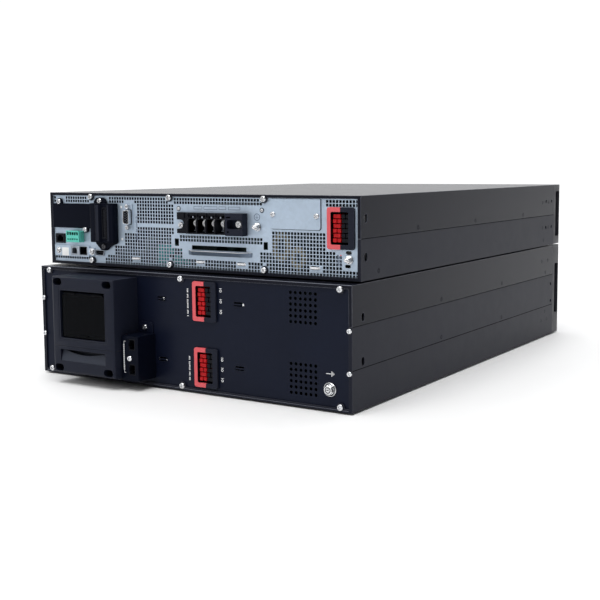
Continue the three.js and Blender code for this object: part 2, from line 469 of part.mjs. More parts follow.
// inner power parts
{
  const parts = [box(-190, 190, -235, 190, 141, 142.6)];
  for (const [a, b2] of [[-150, -180], [150, -180], [-150, 150], [150, 150]]) parts.push(cylZ(a, b2, UZ0 + SHEET + GAP, 141.5, 4, 10));
  for (let i = 0; i < 4; i++) parts.push(cylZ(-28 + 19 * i, 150, 142, 178, 8.6, 10));
  parts.push(box(-30, 30, -60, 20, 142, 176), box(40, 76, 120, 170, 142, 165));
  // bulk capacitors
  for (let i = 0; i < 3; i++) for (let k = 0; k < 4; k++) parts.push(cylZ(-29 + 29 * i, -194 + 32 * k, 142, 196, 12.6, 10));
  // wound inductors standing near the rear panel
  for (const [x, y] of [[108, 128], [142, 128], [108, 162], [142, 162]]) {
    const g = new THREE.LatheGeometry([[5, -9], [13.5, -9], [15, -6], [15, 6], [13.5, 9], [5, 9], [5, -9]].map(([a, b]) => new THREE.Vector2(a, b)), 12);
    g.rotateX(Math.PI / 2);
    g.translate(x, y, 151);
    parts.push(solid(g));
  }
  piece("power_board", join(parts), ...BOARD);
}
for (const [nm, s] of [["left", 1], ["right", -1]]) {
  const fins = [[0, 0], [60, 0]], pts = [];
  pts.push([0, 0], [60, 0]);
  for (let i = 9; i >= 0; i--) { const x = i * 6.2; pts.push([x + 4.2, 56], [x + 2, 56]); if (i > 0) pts.push([x + 2, 8], [x - 2, 8]); }
  const p = pts.map(([a, z]) => [a + (s > 0 ? 95 : -155), z + 143]);
  piece(`heatsink_${nm}`, prismY(p, -200, 90), ...ALUMINIUM);
}

// -------------------------------------------------------------------- bezels
function bezelShell(z0, z1, grip, slots, extra) {
  const y1 = FRONT_Y - GAP, c = 3.5;
  let b = prismZ([[-HALF_W, y1], [-HALF_W, BEZEL_Y + c], [-HALF_W + c, BEZEL_Y], [HALF_W - c, BEZEL_Y], [HALF_W, BEZEL_Y + c], [HALF_W, y1]], z0, z1);
  b = cut(b, [box(-HALF_W + 2.4, HALF_W - 2.4, BEZEL_Y + 3, y1 + 1, z0 + 2.4, z1 - 2.4)]);
  const pads = [];
  // grip pockets: a window in each side wall, floored by an inner wall
  pads.push(mirrored((s) => sideBox(s, HALF_W - 16, HALF_W - 2, BEZEL_Y + 2, BEZEL_Y + 22, grip[0] - 3, grip[1] + 3)));
  b = join([b, ...pads]);
  b = cut(b, [mirrored((s) => sideBox(s, HALF_W - 13.6, HALF_W + 1, BEZEL_Y + 3.4, BEZEL_Y + 19, grip[0], grip[1]))]);
  b = cut(b, slots.map(([xa, xb, za, zb]) => box(xa, xb, BEZEL_Y - 1, BEZEL_Y + 4, za, zb)));
  return extra ? extra(b) : b;
}
{
  const slots = [];
  for (const z of [34, 46, 58, 70, 82, 94]) { slots.push([-190, -30, z, z + 5], [30, 190, z, z + 5]); }
  piece("batt_front_bezel", bezelShell(BZ0, BZ1, [31, 105], slots), ...SOFT_PLASTIC);
}
const POWER_BTN = { x: 66, z: DIAL_Z };
{
  const slots = [];
  for (const z of [152, 162, 172, 182, 192, 202]) { slots.push([-190, -62, z, z + 4.5], [94, 190, z, z + 4.5]); }
  piece("ups_front_bezel", bezelShell(UZ0, UZ1, [145, 211], slots, (b) => {
    const ring = (pts) => {
      const g = new THREE.LatheGeometry(pts.map(([r, y]) => new THREE.Vector2(r, y)), 32);
      g.translate(0, 0, DIAL_Z);
      return solid(g);
    };
    // socket that carries the turning display: collar with an inner rear lip
    let r = b.add(ring([[37.2, BEZEL_Y + 2.5], [40, BEZEL_Y + 2.5], [40, BEZEL_Y + 14], [33.5, BEZEL_Y + 14], [33.5, BEZEL_Y + 12.4], [37.2, BEZEL_Y + 12.4], [37.2, BEZEL_Y + 2.5]]));
    r = cut(r, [cylY(0, BEZEL_Y - 1, BEZEL_Y + 4, DIAL_Z, DIAL_R + 0.6, 32)]);
    r = r.add(cylY(POWER_BTN.x, BEZEL_Y + 2, BEZEL_Y + 12, POWER_BTN.z, 8.4, 24));
    r = cut(r, [cylY(POWER_BTN.x, BEZEL_Y - 1, BEZEL_Y + 10, POWER_BTN.z, 6.4, 24)]);
    return r;
  }), ...SOFT_PLASTIC);
}
const navX = [-14, 0, 14], navZ = DIAL_Z - 21;
{
  let d = cylY(0, BEZEL_Y + 0.3, BEZEL_Y + 8, DIAL_Z, DIAL_R, 32).add(cylY(0, BEZEL_Y + 7, BEZEL_Y + 10.5, DIAL_Z, 36.4, 32));
  d = cut(d, [box(-23, 23, BEZEL_Y - 1, BEZEL_Y + 2.6, DIAL_Z - 12, DIAL_Z + 18), ...navX.map((x) => cylY(x, BEZEL_Y - 1, BEZEL_Y + 7, navZ, 3.7, 16))]);
  piece("display_dial", d, ...BLACK_PLASTIC);
  piece("display_screen", box(-22.7, 22.7, BEZEL_Y + 0.9, BEZEL_Y + 2.3, DIAL_Z - 11.7, DIAL_Z + 17.7), 0x1b2a3c, 0.15, 0);
  navX.forEach((x, i) => piece(`nav_button_${i + 1}`, cylY(x, BEZEL_Y + 0.2, BEZEL_Y + 5.2, navZ, 3.35, 16), 0x8a8d92, 0.5, 0));
  piece("power_button", cylY(POWER_BTN.x, BEZEL_Y + 0.1, BEZEL_Y + 7.6, POWER_BTN.z, 6, 24), 0x9a9da2, 0.45, 0);
}

export default group;
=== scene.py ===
# Looks of the two-chassis rack UPS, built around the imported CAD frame.
# Lengths in the builders below are millimetres in the row frame; objects are made in metres.
import math
import bpy
import bmesh
import numpy as np
from mathutils import Matrix, Vector
from mathutils.geometry import delaunay_2d_cdt


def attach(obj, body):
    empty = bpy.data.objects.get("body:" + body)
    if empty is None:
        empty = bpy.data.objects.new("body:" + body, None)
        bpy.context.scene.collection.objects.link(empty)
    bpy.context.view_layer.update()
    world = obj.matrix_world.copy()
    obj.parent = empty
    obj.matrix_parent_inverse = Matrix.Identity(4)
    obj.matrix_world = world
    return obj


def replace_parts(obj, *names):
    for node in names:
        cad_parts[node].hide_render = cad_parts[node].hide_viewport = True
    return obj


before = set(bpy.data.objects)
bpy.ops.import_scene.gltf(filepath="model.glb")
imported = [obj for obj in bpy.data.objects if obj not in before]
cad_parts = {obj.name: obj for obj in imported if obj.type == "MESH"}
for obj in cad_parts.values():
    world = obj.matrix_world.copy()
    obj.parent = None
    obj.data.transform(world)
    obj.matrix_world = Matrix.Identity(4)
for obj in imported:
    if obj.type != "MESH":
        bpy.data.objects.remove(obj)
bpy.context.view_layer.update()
MM = 0.001
U = 134.0                      # underside of the power module
UP1 = 267.7                    # front face of the power module's rear panel
PY = 268.0                     # where pieces mounted on it start
BP1 = 285.7                    # front face of the battery module's rear panel
BY = 286.0
ENC_Y = 325.5
BEZ = -325.5

# ------------------------------------------------------------------ materials
def shade(name, base, rough=0.5, metal=0.0, var=0.10, blotch=16.0, grain=1500.0, bump=0.12, dist=0.00012,
          rough_var=0.06, coat=0.0, coat_rough=0.15, streak=None, edge=None, alpha=1.0, spec=0.5, emit=None,
          speck=None, spangle=None, aniso=0.0, tint=None):
    m = bpy.data.materials.new(name)
    m.use_nodes = True
    nt = m.node_tree
    N, L = nt.nodes, nt.links
    N.clear()
    out = N.new("ShaderNodeOutputMaterial")
    b = N.new("ShaderNodeBsdfPrincipled")
    L.new(b.outputs["BSDF"], out.inputs["Surface"])
    b.inputs["Metallic"].default_value = metal
    b.inputs["Coat Weight"].default_value = coat
    b.inputs["Coat Roughness"].default_value = coat_rough
    b.inputs["Specular IOR Level"].default_value = spec
    b.inputs["Alpha"].default_value = alpha
    if tint:
        b.inputs["Specular Tint"].default_value = list(tint) + [1]
    if aniso:
        b.inputs["Anisotropic"].default_value = aniso
    tc = N.new("ShaderNodeTexCoord")
    src = tc.outputs["Object"]
    n1 = N.new("ShaderNodeTexNoise")
    n1.inputs["Scale"].default_value = blotch
    n1.inputs["Detail"].default_value = 4.0
    n1.inputs["Roughness"].default_value = 0.6
    L.new(src, n1.inputs["Vector"])
    mix = N.new("ShaderNodeMix")
    mix.data_type = "RGBA"
    lo = [max(0.0, c * (1 - var)) for c in base[:3]] + [1]
    hi = [min(1.0, c * (1 + var)) for c in base[:3]] + [1]
    mix.inputs["A"].default_value = lo
    mix.inputs["B"].default_value = hi
    mr = N.new("ShaderNodeMapRange")
    mr.inputs["From Min"].default_value = 0.3
    mr.inputs["From Max"].default_value = 0.7
    L.new(n1.outputs["Fac"], mr.inputs["Value"])
    L.new(mr.outputs["Result"], mix.inputs["Factor"])
    colour = mix.outputs["Result"]
    if spangle:
        v = N.new("ShaderNodeTexVoronoi")
        v.inputs["Scale"].default_value = spangle[0]
        L.new(src, v.inputs["Vector"])
        sep = N.new("ShaderNodeSeparateColor")
        L.new(v.outputs["Color"], sep.inputs["Color"])
        m2 = N.new("ShaderNodeMix")
        m2.data_type = "RGBA"
        m2.blend_type = "MULTIPLY"
        m2.inputs["Factor"].default_value = spangle[1]
        L.new(colour, m2.inputs["A"])
        L.new(sep.outputs["Red"], m2.inputs["B"])
        colour = m2.outputs["Result"]
    if speck:
        s = N.new("ShaderNodeTexNoise")
        s.inputs["Scale"].default_value = speck[0]
        s.inputs["Detail"].default_value = 2.0
        L.new(src, s.inputs["Vector"])
        r = N.new("ShaderNodeValToRGB")
        r.color_ramp.elements[0].position = 0.60
        r.color_ramp.elements[1].position = 0.72
        L.new(s.outputs["Fac"], r.inputs["Fac"])
        m3 = N.new("ShaderNodeMix")
        m3.data_type = "RGBA"
        m3.inputs["B"].default_value = list(speck[1]) + [1]
        sc = N.new("ShaderNodeMath")
        sc.operation = "MULTIPLY"
        sc.inputs[1].default_value = speck[2]
        L.new(r.outputs["Color"], sc.inputs[0])
        L.new(sc.outputs[0], m3.inputs["Factor"])
        L.new(colour, m3.inputs["A"])
        colour = m3.outputs["Result"]
    # edge = (radius, colour, strength): lightens the surface along bevelled edges, partly wear and partly a painted
    # highlight where edges catch the light
    if edge:
        bev = N.new("ShaderNodeBevel")
        bev.samples = 4
        bev.inputs["Radius"].default_value = edge[0]
        geo = N.new("ShaderNodeNewGeometry")
        dot = N.new("ShaderNodeVectorMath")
        dot.operation = "DOT_PRODUCT"
        L.new(bev.outputs["Normal"], dot.inputs[0])
        L.new(geo.outputs["Normal"], dot.inputs[1])
        em = N.new("ShaderNodeMapRange")
        em.inputs["From Min"].default_value = 0.995
        em.inputs["From Max"].default_value = 0.90
        L.new(dot.outputs["Value"], em.inputs["Value"])
        en = N.new("ShaderNodeTexNoise")
        en.inputs["Scale"].default_value = 180.0
        L.new(src, en.inputs["Vector"])
        mu = N.new("ShaderNodeMath")
        mu.operation = "MULTIPLY"
        L.new(em.outputs["Result"], mu.inputs[0])
        L.new(en.outputs["Fac"], mu.inputs[1])
        mu2 = N.new("ShaderNodeMath")
        mu2.operation = "MULTIPLY"
        mu2.inputs[1].default_value = edge[2]
        L.new(mu.outputs[0], mu2.inputs[0])
        m4 = N.new("ShaderNodeMix")
        m4.data_type = "RGBA"
        m4.inputs["B"].default_value = list(edge[1]) + [1]
        L.new(mu2.outputs[0], m4.inputs["Factor"])
        L.new(colour, m4.inputs["A"])
        colour = m4.outputs["Result"]
    L.new(colour, b.inputs["Base Color"])
    n2 = N.new("ShaderNodeTexNoise")
    n2.inputs["Scale"].default_value = 70.0
    n2.inputs["Detail"].default_value = 3.0
    L.new(src, n2.inputs["Vector"])
    rr = N.new("ShaderNodeMapRange")
    rr.inputs["From Min"].default_value = 0.3
    rr.inputs["From Max"].default_value = 0.7
    rr.inputs["To Min"].default_value = max(0.02, rough - rough_var)
    rr.inputs["To Max"].default_value = min(1.0, rough + rough_var)
    L.new(n2.outputs["Fac"], rr.inputs["Value"])
    L.new(rr.outputs["Result"], b.inputs["Roughness"])
    g = N.new("ShaderNodeTexNoise")
    g.inputs["Scale"].default_value = grain
    g.inputs["Detail"].default_value = 2.0
    if streak:
        mp = N.new("ShaderNodeMapping")
        mp.inputs["Scale"].default_value = streak
        L.new(src, mp.inputs["Vector"])
        L.new(mp.outputs["Vector"], g.inputs["Vector"])
    else:
        L.new(src, g.inputs["Vector"])
    bp = N.new("ShaderNodeBump")
    bp.inputs["Strength"].default_value = bump
    bp.inputs["Distance"].default_value = dist
    L.new(g.outputs["Fac"], bp.inputs["Height"])
    L.new(bp.outputs["Normal"], b.inputs["Normal"])
    if emit:
        b.inputs["Emission Color"].default_value = list(emit[0]) + [1]
        b.inputs["Emission Strength"].default_value = emit[1]
    m.diffuse_color = list(base[:3]) + [1]
    return m


# The edge entries below lighten every bevelled edge, partly as wear and partly as painted highlight; the lid's lighter,
# stronger edge paints the highlight along its rear edge.
MAT = {
    "steel": shade("black_powder_coat", (0.0106, 0.0116, 0.0190), 0.42, var=0.04, grain=2200, bump=0.16, dist=0.0001, spec=0.12, rough_var=0.015, tint=(0.84, 0.88, 1.0),
                   edge=(0.0009, (0.10, 0.105, 0.125), 0.55)),
    "lid": shade("lid_powder_coat", (0.0072, 0.0078, 0.0128), 0.26, var=0.04, grain=2000, bump=0.12, dist=0.0001, rough_var=0.012, tint=(0.84, 0.88, 1.0),
                 edge=(0.0012, (0.20, 0.21, 0.25), 0.8), spec=0.09),
    "panel": shade("battery_panel_coat", (0.0042, 0.0060, 0.0158), 0.36, var=0.10, grain=1900, bump=0.14, dist=0.0001, spec=0.14, rough_var=0.02, tint=(0.80, 0.87, 1.0),
                   edge=(0.0007, (0.06, 0.065, 0.085), 0.4)),
    "zinc": shade("zinc_plate", (0.43, 0.52, 0.63), 0.44, 0.55, var=0.06, blotch=24, grain=420, bump=0.10, dist=0.00008,
                  streak=(1, 1, 9), spangle=(260, 0.07), rough_var=0.08),
    # a darker copy of the zinc plate
    "zinc_dark": shade("zinc_plate_darker", (0.36, 0.40, 0.46), 0.40, 0.7, var=0.10, blotch=60, grain=500, bump=0.12,
                       dist=0.00008, streak=(1, 1, 7)),
    "black": shade("moulded_black", (0.0042, 0.0048, 0.0080), 0.42, var=0.12, grain=2600, bump=0.30, dist=0.00008, spec=0.12),
    # lighter strip colour: painted highlight along the battery module's rear edges
    "hem": shade("hem_painted_highlight", (0.17, 0.18, 0.22), 0.36, 0.4, var=0.10, grain=900, bump=0.10, dist=0.00006),
    "seam": shade("seam_shadow", (0.0020, 0.0022, 0.0030), 0.8, var=0.10, grain=900, bump=0.05, spec=0.02),
    # zinc darkened for the pull bar: painted shade on its down-tilted face
    "bar": shade("bar_painted_shade", (0.125, 0.165, 0.225), 0.42, 0.5, var=0.06, blotch=50, grain=420, bump=0.10, dist=0.00008, streak=(9, 1, 1)),
    "char": shade("moulded_charcoal", (0.0084, 0.0102, 0.0195), 0.46, var=0.06, grain=2400, bump=0.28, dist=0.00009, spec=0.15, rough_var=0.03, tint=(0.84, 0.89, 1.0),
                  edge=(0.0009, (0.06, 0.063, 0.08), 0.45)),
    # lighter copy of the charcoal moulding: painted light on the finger recess's upward-facing slope
    "pad": shade("finger_pad_painted_light", (0.031, 0.036, 0.051), 0.50, var=0.06, grain=2400, bump=0.28, dist=0.00009, spec=0.15, rough_var=0.03),
    "cover": shade("flat_cover_plastic", (0.0026, 0.0036, 0.0086), 0.34, var=0.08, grain=1800, bump=0.12, dist=0.00007, spec=0.045, tint=(0.82, 0.88, 1.0), rough_var=0.03),
    "window": shade("smoked_window", (0.0012, 0.0016, 0.0026), 0.07, var=0.20, grain=300, bump=0.02, dist=0.00004,
                    rough_var=0.02, coat=0.0, coat_rough=0.04, alpha=0.96, spec=0.035),
    "red": shade("coral_red_moulding", (0.66, 0.082, 0.098), 0.42, var=0.08, grain=2200, bump=0.20, dist=0.00007),
    "deep_red": shade("deep_red_moulding", (0.42, 0.001, 0.004), 0.40, var=0.15, grain=2200, bump=0.20, dist=0.00007, spec=0.22),
    "green": shade("green_terminal", (0.10, 0.56, 0.46), 0.42, var=0.10, grain=2200, bump=0.18, dist=0.00007),
    "green_dark": shade("green_terminal_shade", (0.04, 0.22, 0.16), 0.5, var=0.12, grain=2200, bump=0.18, dist=0.00007),
    "nickel": shade("nickel_screw", (0.70, 0.71, 0.73), 0.24, 1.0, var=0.08, blotch=300, grain=900, bump=0.10,
                    dist=0.00005, rough_var=0.08),
    # zinc-plated screw metal made lighter and more diffuse: partly the plating, partly painted light so screws down in
    # the terminal wells read bright; also used for the pull bar's painted top highlight
    "bright": shade("zinc_screw_and_painted_highlight", (0.82, 0.83, 0.84), 0.42, 0.45, var=0.06, blotch=300, grain=900, bump=0.10, dist=0.00005),
    "board": shade("filter_board_mask", (0.012, 0.27, 0.27), 0.34, var=0.25, blotch=120, grain=700, bump=0.2, dist=0.00008),
    "screw_dark": shade("black_oxide_screw", (0.10, 0.10, 0.11), 0.32, 0.9, var=0.12, blotch=300, grain=900, bump=0.10, dist=0.00005),
    "alu": shade("extruded_aluminium", (0.62, 0.63, 0.65), 0.36, 1.0, var=0.06, grain=600, bump=0.15, dist=0.00006, streak=(1, 0.05, 1)),
    "pcb": shade("solder_mask", (0.004, 0.034, 0.032), 0.40, var=0.25, blotch=120, grain=700, bump=0.2, dist=0.00008,
                 speck=(420, (0.16, 0.19, 0.15), 0.4)),
    "gold": shade("contact_gold", (0.83, 0.60, 0.24), 0.25, 1.0, var=0.05, grain=900, bump=0.05),
    "copper": shade("wound_copper", (0.52, 0.26, 0.10), 0.35, 0.7, var=0.2, blotch=200, grain=1300, bump=0.9, dist=0.0004, streak=(6, 6, 0.4)),
    "cell": shade("battery_case", (0.045, 0.048, 0.06), 0.55, var=0.10, grain=1700, bump=0.3, dist=0.0001),
    "white": shade("white_print", (0.80, 0.81, 0.82), 0.55, var=0.03, grain=900, bump=0.05),
    "grey_print": shade("grey_print", (0.11, 0.14, 0.21), 0.6, var=0.04, grain=900, bump=0.05),
    "label": shade("paper_label", (0.86, 0.87, 0.87), 0.5, var=0.02, blotch=40, grain=1200, bump=0.08),
    "screen": shade("display_glass", (0.010, 0.020, 0.040), 0.08, var=0.2, grain=300, bump=0.01, coat=0.8, coat_rough=0.03),
    "lcd": shade("display_glow", (0.10, 0.28, 0.50), 0.3, var=0.05, grain=900, bump=0.02, emit=((0.25, 0.55, 0.95), 0.55)),
    "button": shade("button_grey", (0.16, 0.165, 0.18), 0.42, var=0.06, grain=2200, bump=0.2, dist=0.00006),
    "bezel": shade("bezel_plastic", (0.018, 0.0185, 0.024), 0.44, var=0.08, grain=2100, bump=0.38, dist=0.0001, spec=0.25,
                   edge=(0.001, (0.07, 0.073, 0.09), 0.45)),
    "foil": shade("filter_foam", (0.014, 0.014, 0.016), 0.9, var=0.2, grain=900, bump=0.9, dist=0.0006),
    "dark": shade("inner_shade", (0.012, 0.014, 0.018), 0.7, var=0.15, grain=900, bump=0.2),
    "tan": shade("tan_winding", (0.34, 0.26, 0.13), 0.5, var=0.2, blotch=150, grain=900, bump=0.7, dist=0.0004, streak=(5, 5, 0.5)),
}

# -------------------------------------------------------------- mesh building
def tri_plate(outer, holes):
    verts, faces = [], []
    for loop in [outer] + list(holes):
        turn = sum(p[0] * q[1] - q[0] * p[1] for p, q in zip(loop, list(loop[1:]) + [loop[0]]))
        loop = list(loop) if turn > 0 else list(loop)[::-1]
        o = len(verts)
        verts.extend(Vector((float(a), float(b))) for a, b in loop)
        faces.append(list(range(o, o + len(loop))))
    vo, _, fo, _, _, orig = delaunay_2d_cdt(verts, [], faces, 1, 1e-6)
    tris = [tuple(f) for f, src in zip(fo, orig) if 0 in src and not any(k > 0 for k in src)]
    used = sorted({i for t in tris for i in t})
    at = {v: n for n, v in enumerate(used)}
    return [tuple(vo[i]) for i in used], [tuple(at[i] for i in t) for t in tris]


AXES = {"x": lambda a, b, h: (h, a, b), "y": lambda a, b, h: (a, h, b), "z": lambda a, b, h: (a, b, h)}


class Part:
    def __init__(self):
        self.v, self.f, self.mi = [], [], []

    def add(self, verts, faces, mi=0):
        o = len(self.v)
        self.v.extend(tuple(float(c) for c in p) for p in verts)
        self.f.extend(tuple(i + o for i in f) for f in faces)
        self.mi.extend([mi] * len(faces))
        return self

    def box(self, x0, x1, y0, y1, z0, z1, mi=0):
        v = [(x, y, z) for x in (x0, x1) for y in (y0, y1) for z in (z0, z1)]
        return self.add(v, [(0, 1, 3, 2), (4, 6, 7, 5), (0, 4, 5, 1), (2, 3, 7, 6), (0, 2, 6, 4), (1, 5, 7, 3)], mi)

    def prism(self, pts, axis, a0, a1, mi=0):
        n = len(pts)
        at = AXES[axis]
        v = [at(a, b, a0) for a, b in pts] + [at(a, b, a1) for a, b in pts]
        f = [tuple(range(n))[::-1], tuple(range(n, 2 * n))] + [(i, (i + 1) % n, n + (i + 1) % n, n + i) for i in range(n)]
        return self.add(v, f, mi)

    def plate(self, outer, holes, axis, a0, a1, mi=0):
        p, t = tri_plate(outer, holes)
        n = len(p)
        at = AXES[axis]
        v = [at(a, b, a0) for a, b in p] + [at(a, b, a1) for a, b in p]
        f = [x[::-1] for x in t] + [tuple(i + n for i in x) for x in t]
        edges = {}
        for x in t:
            for i in range(3):
                e = (x[i], x[(i + 1) % 3])
                key = (min(e), max(e))
                edges[key] = None if key in edges else e
        f += [(e[0], e[1], e[1] + n, e[0] + n) for e in edges.values() if e]
        return self.add(v, f, mi)

    def lathe(self, axis, ca, cb, prof, n=24, mi=0, turn=0.0):
        """prof: (height, radius) pairs; a radius of 0 closes on the axis."""
        at = AXES[axis]
        v, rings = [], []
        for h, r in prof:
            if r <= 1e-9:
                rings.append([len(v)])
                v.append(at(ca, cb, h))
            else:
                rings.append(list(range(len(v), len(v) + n)))
                for i in range(n):
                    t = 2 * math.pi * i / n + turn
                    v.append(at(ca + r * math.cos(t), cb + r * math.sin(t), h))
        f = []
        closed = prof[0][1] > 1e-9 and prof[-1][1] > 1e-9
        seq = list(zip(rings, rings[1:])) + ([(rings[-1], rings[0])] if closed else [])
        for p, q in seq:
            if len(p) == 1 and len(q) == 1:
                continue
            for i in range(n):
                j = (i + 1) % n
                if len(p) == 1:
                    f.append((p[0], q[j], q[i]))
                elif len(q) == 1:
                    f.append((p[i], p[j], q[0]))
                else:
                    f.append((p[i], p[j], q[j], q[i]))
        return self.add(v, f, mi)

    def cyl(self, axis, ca, cb, a0, a1, r, n=20, mi=0, ch=0.0):
        if ch:
            return self.lathe(axis, ca, cb, [(a0, 0), (a0, r), (a1 - ch, r), (a1, r - ch), (a1, 0)], n, mi)
        return self.lathe(axis, ca, cb, [(a0, 0), (a0, r), (a1, r), (a1, 0)], n, mi)

    def xf(self, fn, start=0):
        self.v[start:] = [tuple(fn(*p)) for p in self.v[start:]]
        return self

    def obj(self, name, mats, body, replaces=(), bevel=0.0, seg=2, smooth=38, angle=32):
        me = bpy.data.meshes.new(name)
        me.from_pydata([(x * MM, y * MM, z * MM) for x, y, z in self.v], [], self.f)
        for k in (mats if isinstance(mats, (list, tuple)) else [mats]):
            me.materials.append(MAT[k])
        me.polygons.foreach_set("material_index", self.mi)
        bm = bmesh.new()
        bm.from_mesh(me)
        bmesh.ops.recalc_face_normals(bm, faces=bm.faces)
        bm.to_mesh(me)
        bm.free()
        me.polygons.foreach_set("use_smooth", [True] * len(me.polygons))
        me.set_sharp_from_angle(angle=math.radians(smooth))
        me.update()
        o = bpy.data.objects.new(name, me)
        bpy.context.scene.collection.objects.link(o)
        if bevel:
            b = o.modifiers.new("edge", "BEVEL")
            b.width = bevel * MM
            b.segments = seg
            b.limit_method = "ANGLE"
            b.angle_limit = math.radians(angle)
            b.harden_normals = True
            b.use_clamp_overlap = True
        if body:
            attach(o, body)
        if replaces:
            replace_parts(o, *replaces)
        return o


def rrect(a0, a1, b0, b1, r, n=5):
    pts = []
    for ca, cb, t0 in ((a1 - r, b1 - r, 0), (a0 + r, b1 - r, 90), (a0 + r, b0 + r, 180), (a1 - r, b0 + r, 270)):
        for i in range(n + 1):
            t = math.radians(t0 + 90 * i / n)
            pts.append((ca + r * math.cos(t), cb + r * math.sin(t)))
    return pts


def ring(cx, cy, r, n=20, turn=0.0):
    return [(cx + r * math.cos(2 * math.pi * i / n + turn), cy + r * math.sin(2 * math.pi * i / n + turn)) for i in range(n)]


def rect(a0, a1, b0, b1):
    return [(a0, b0), (a1, b0), (a1, b1), (a0, b1)]


def thick(path, t):
    """Closed outline of an open polyline with thickness t (2-D)."""
    left, right = [], []
    n = len(path)
    for i, (x, y) in enumerate(path):
        ds = []
        if i > 0:
            ds.append(Vector((x - path[i - 1][0], y - path[i - 1][1])).normalized())
        if i < n - 1:
            ds.append(Vector((path[i + 1][0] - x, path[i + 1][1] - y)).normalized())
        d = sum(ds, Vector((0, 0))).normalized()
        k = t / 2 / max(0.4, d.dot(ds[0]))
        left.append((x - d.y * k, y + d.x * k))
        right.append((x + d.y * k, y - d.x * k))
    return left + right[::-1]


def cross_recess(r):
    a, b = r * 0.62, r * 0.15
    return [(b, a), (-b, a), (-b, b), (-a, b), (-a, -b), (-b, -b), (-b, -a), (b, -a), (b, -b), (a, -b), (a, b), (b, b)]


def screw(part, x, y, z, r=3.4, h=1.7, turn=0.4, mi=0, n=20, axis="y", sign=1):
    """Pan head with a cross recess; y is where the head sits, pointing along +axis*sign."""
    c, s = math.cos(turn), math.sin(turn)
    plus = [(a * c - b * s, a * s + b * c) for a, b in cross_recess(r)]
    top_r = r * 0.80
    v, f = [], []
    p, t = tri_plate(ring(0, 0, top_r, n), [plus])
    base = len(v)
    v += [(a, h, b) for a, b in p]
    f += [tuple(i + base for i in q) for q in t]
    # skirt
    o = len(v)
    prof = [(top_r, h), (r * 0.95, h * 0.72), (r, h * 0.35), (r, 0.0)]
    for rr, hh in prof:
        v += [(a, hh, b) for a, b in ring(0, 0, rr, n)]
    for k in range(len(prof) - 1):
        for i in range(n):
            j = (i + 1) % n
            f.append((o + k * n + i, o + k * n + j, o + (k + 1) * n + j, o + (k + 1) * n + i))
    last = o + (len(prof) - 1) * n
    f.append(tuple(range(last, last + n)))
    # recess walls and floor
    o = len(v)
    m = len(plus)
    v += [(a, h, b) for a, b in plus] + [(a * 0.8, h * 0.25, b * 0.8) for a, b in plus]
    for i in range(m):
        j = (i + 1) % m
        f.append((o + i, o + j, o + m + j, o + m + i))
    f.append(tuple(range(o + m, o + 2 * m)))
    # merge doubled rings by position
    key, remap, out = {}, [], []
    for q in v:
        kk = tuple(round(cc, 5) for cc in q)
        if kk not in key:
            key[kk] = len(out)
            out.append(q)
        remap.append(key[kk])
    f = [tuple(remap[i] for i in q) for q in f]
    if axis == "y":
        out = [(x + a, y + sign * hh, z + b) for a, hh, b in out]
    elif axis == "x":
        out = [(x + sign * hh, y + a, z + b) for a, hh, b in out]
    else:
        out = [(x + a, y + b, z + sign * hh) for a, hh, b in out]
    return part.add(out, f, mi)


def cut(o, cutter, op="DIFFERENCE"):
    """Applies a boolean with another object, then removes that object."""
    m = o.modifiers.new("cut", "BOOLEAN")
    m.operation = op
    m.solver = "EXACT"
    m.use_self = True
    m.object = cutter
    dg = bpy.context.evaluated_depsgraph_get()
    me = bpy.data.meshes.new_from_object(o.evaluated_get(dg))
    o.modifiers.remove(m)
    old = o.data
    o.data = me
    me.name = old.name
    bpy.data.meshes.remove(old)
    cm = cutter.data
    bpy.data.objects.remove(cutter)
    bpy.data.meshes.remove(cm)
    me.polygons.foreach_set("use_smooth", [True] * len(me.polygons))
    me.set_sharp_from_angle(angle=math.radians(34))
    return o


def bake_mods(o):
    dg = bpy.context.evaluated_depsgraph_get()
    me = bpy.data.meshes.new_from_object(o.evaluated_get(dg))
    o.modifiers.clear()
    old = o.data
    o.data = me
    bpy.data.meshes.remove(old)
    return o


def edge(o, w=0.3, seg=2, angle=32):
    b = o.modifiers.new("edge", "BEVEL")
    b.width = w * MM
    b.segments = seg
    b.limit_method = "ANGLE"
    b.angle_limit = math.radians(angle)
    b.harden_normals = True
    return o

# ------------------------------------------------- power module: rear panel
PX, PZ, HW, HH = 3.95, 3.80, 2.96, 2.96
PERF_IN = [  # x range, height range above the module's underside
    (-214, 213, 75.0, 82.4), (25.3, 79.6, 52, 75), (25.3, 80.2, 41.0, 48.6), (29.4, 102, 25.4, 40.4), (-97, 17, 33, 40.4),
    (-214.5, 130, 2.6, 25.0), (148, 214, 6.0, 9.8), (-176, -107.4, 25, 48.4), (-187, -176, 12, 27.5),
]
PERF_OUT = [
    (-175, -104, 48.6, 86), (147, 217, 41, 75.0), (105, 148, 26.5, 76), (117, 148, 15, 28), (123, 148, 72.5, 83.5),
    (83, 102, 41, 77), (-81, 21, 40.5, 74), (-92, 12, 14.0, 28.8), (-215, -176.6, 29, 75.4), (129.5, 150, 10.5, 21),
    (145, 217, 9.9, 24), (-98, -84, 44, 68), (-214, -195, 10, 30.5), (16, 26.2, 25.5, 38.2), (-106, -96.4, 25.5, 38.2),
    (75.5, 89.6, 7.6, 14.0), (-20, -5.4, 7.6, 14.2), (-76.5, -61.4, 7.6, 14.2), (-171.5, -156.0, 7.6, 14.2),
    (196.5, 209.5, 74.5, 81.5),
]
LUGS = [(x, z) for x in (151.2, 30.3, -100.0) for z in (6.0, 81.8)]
perf = []
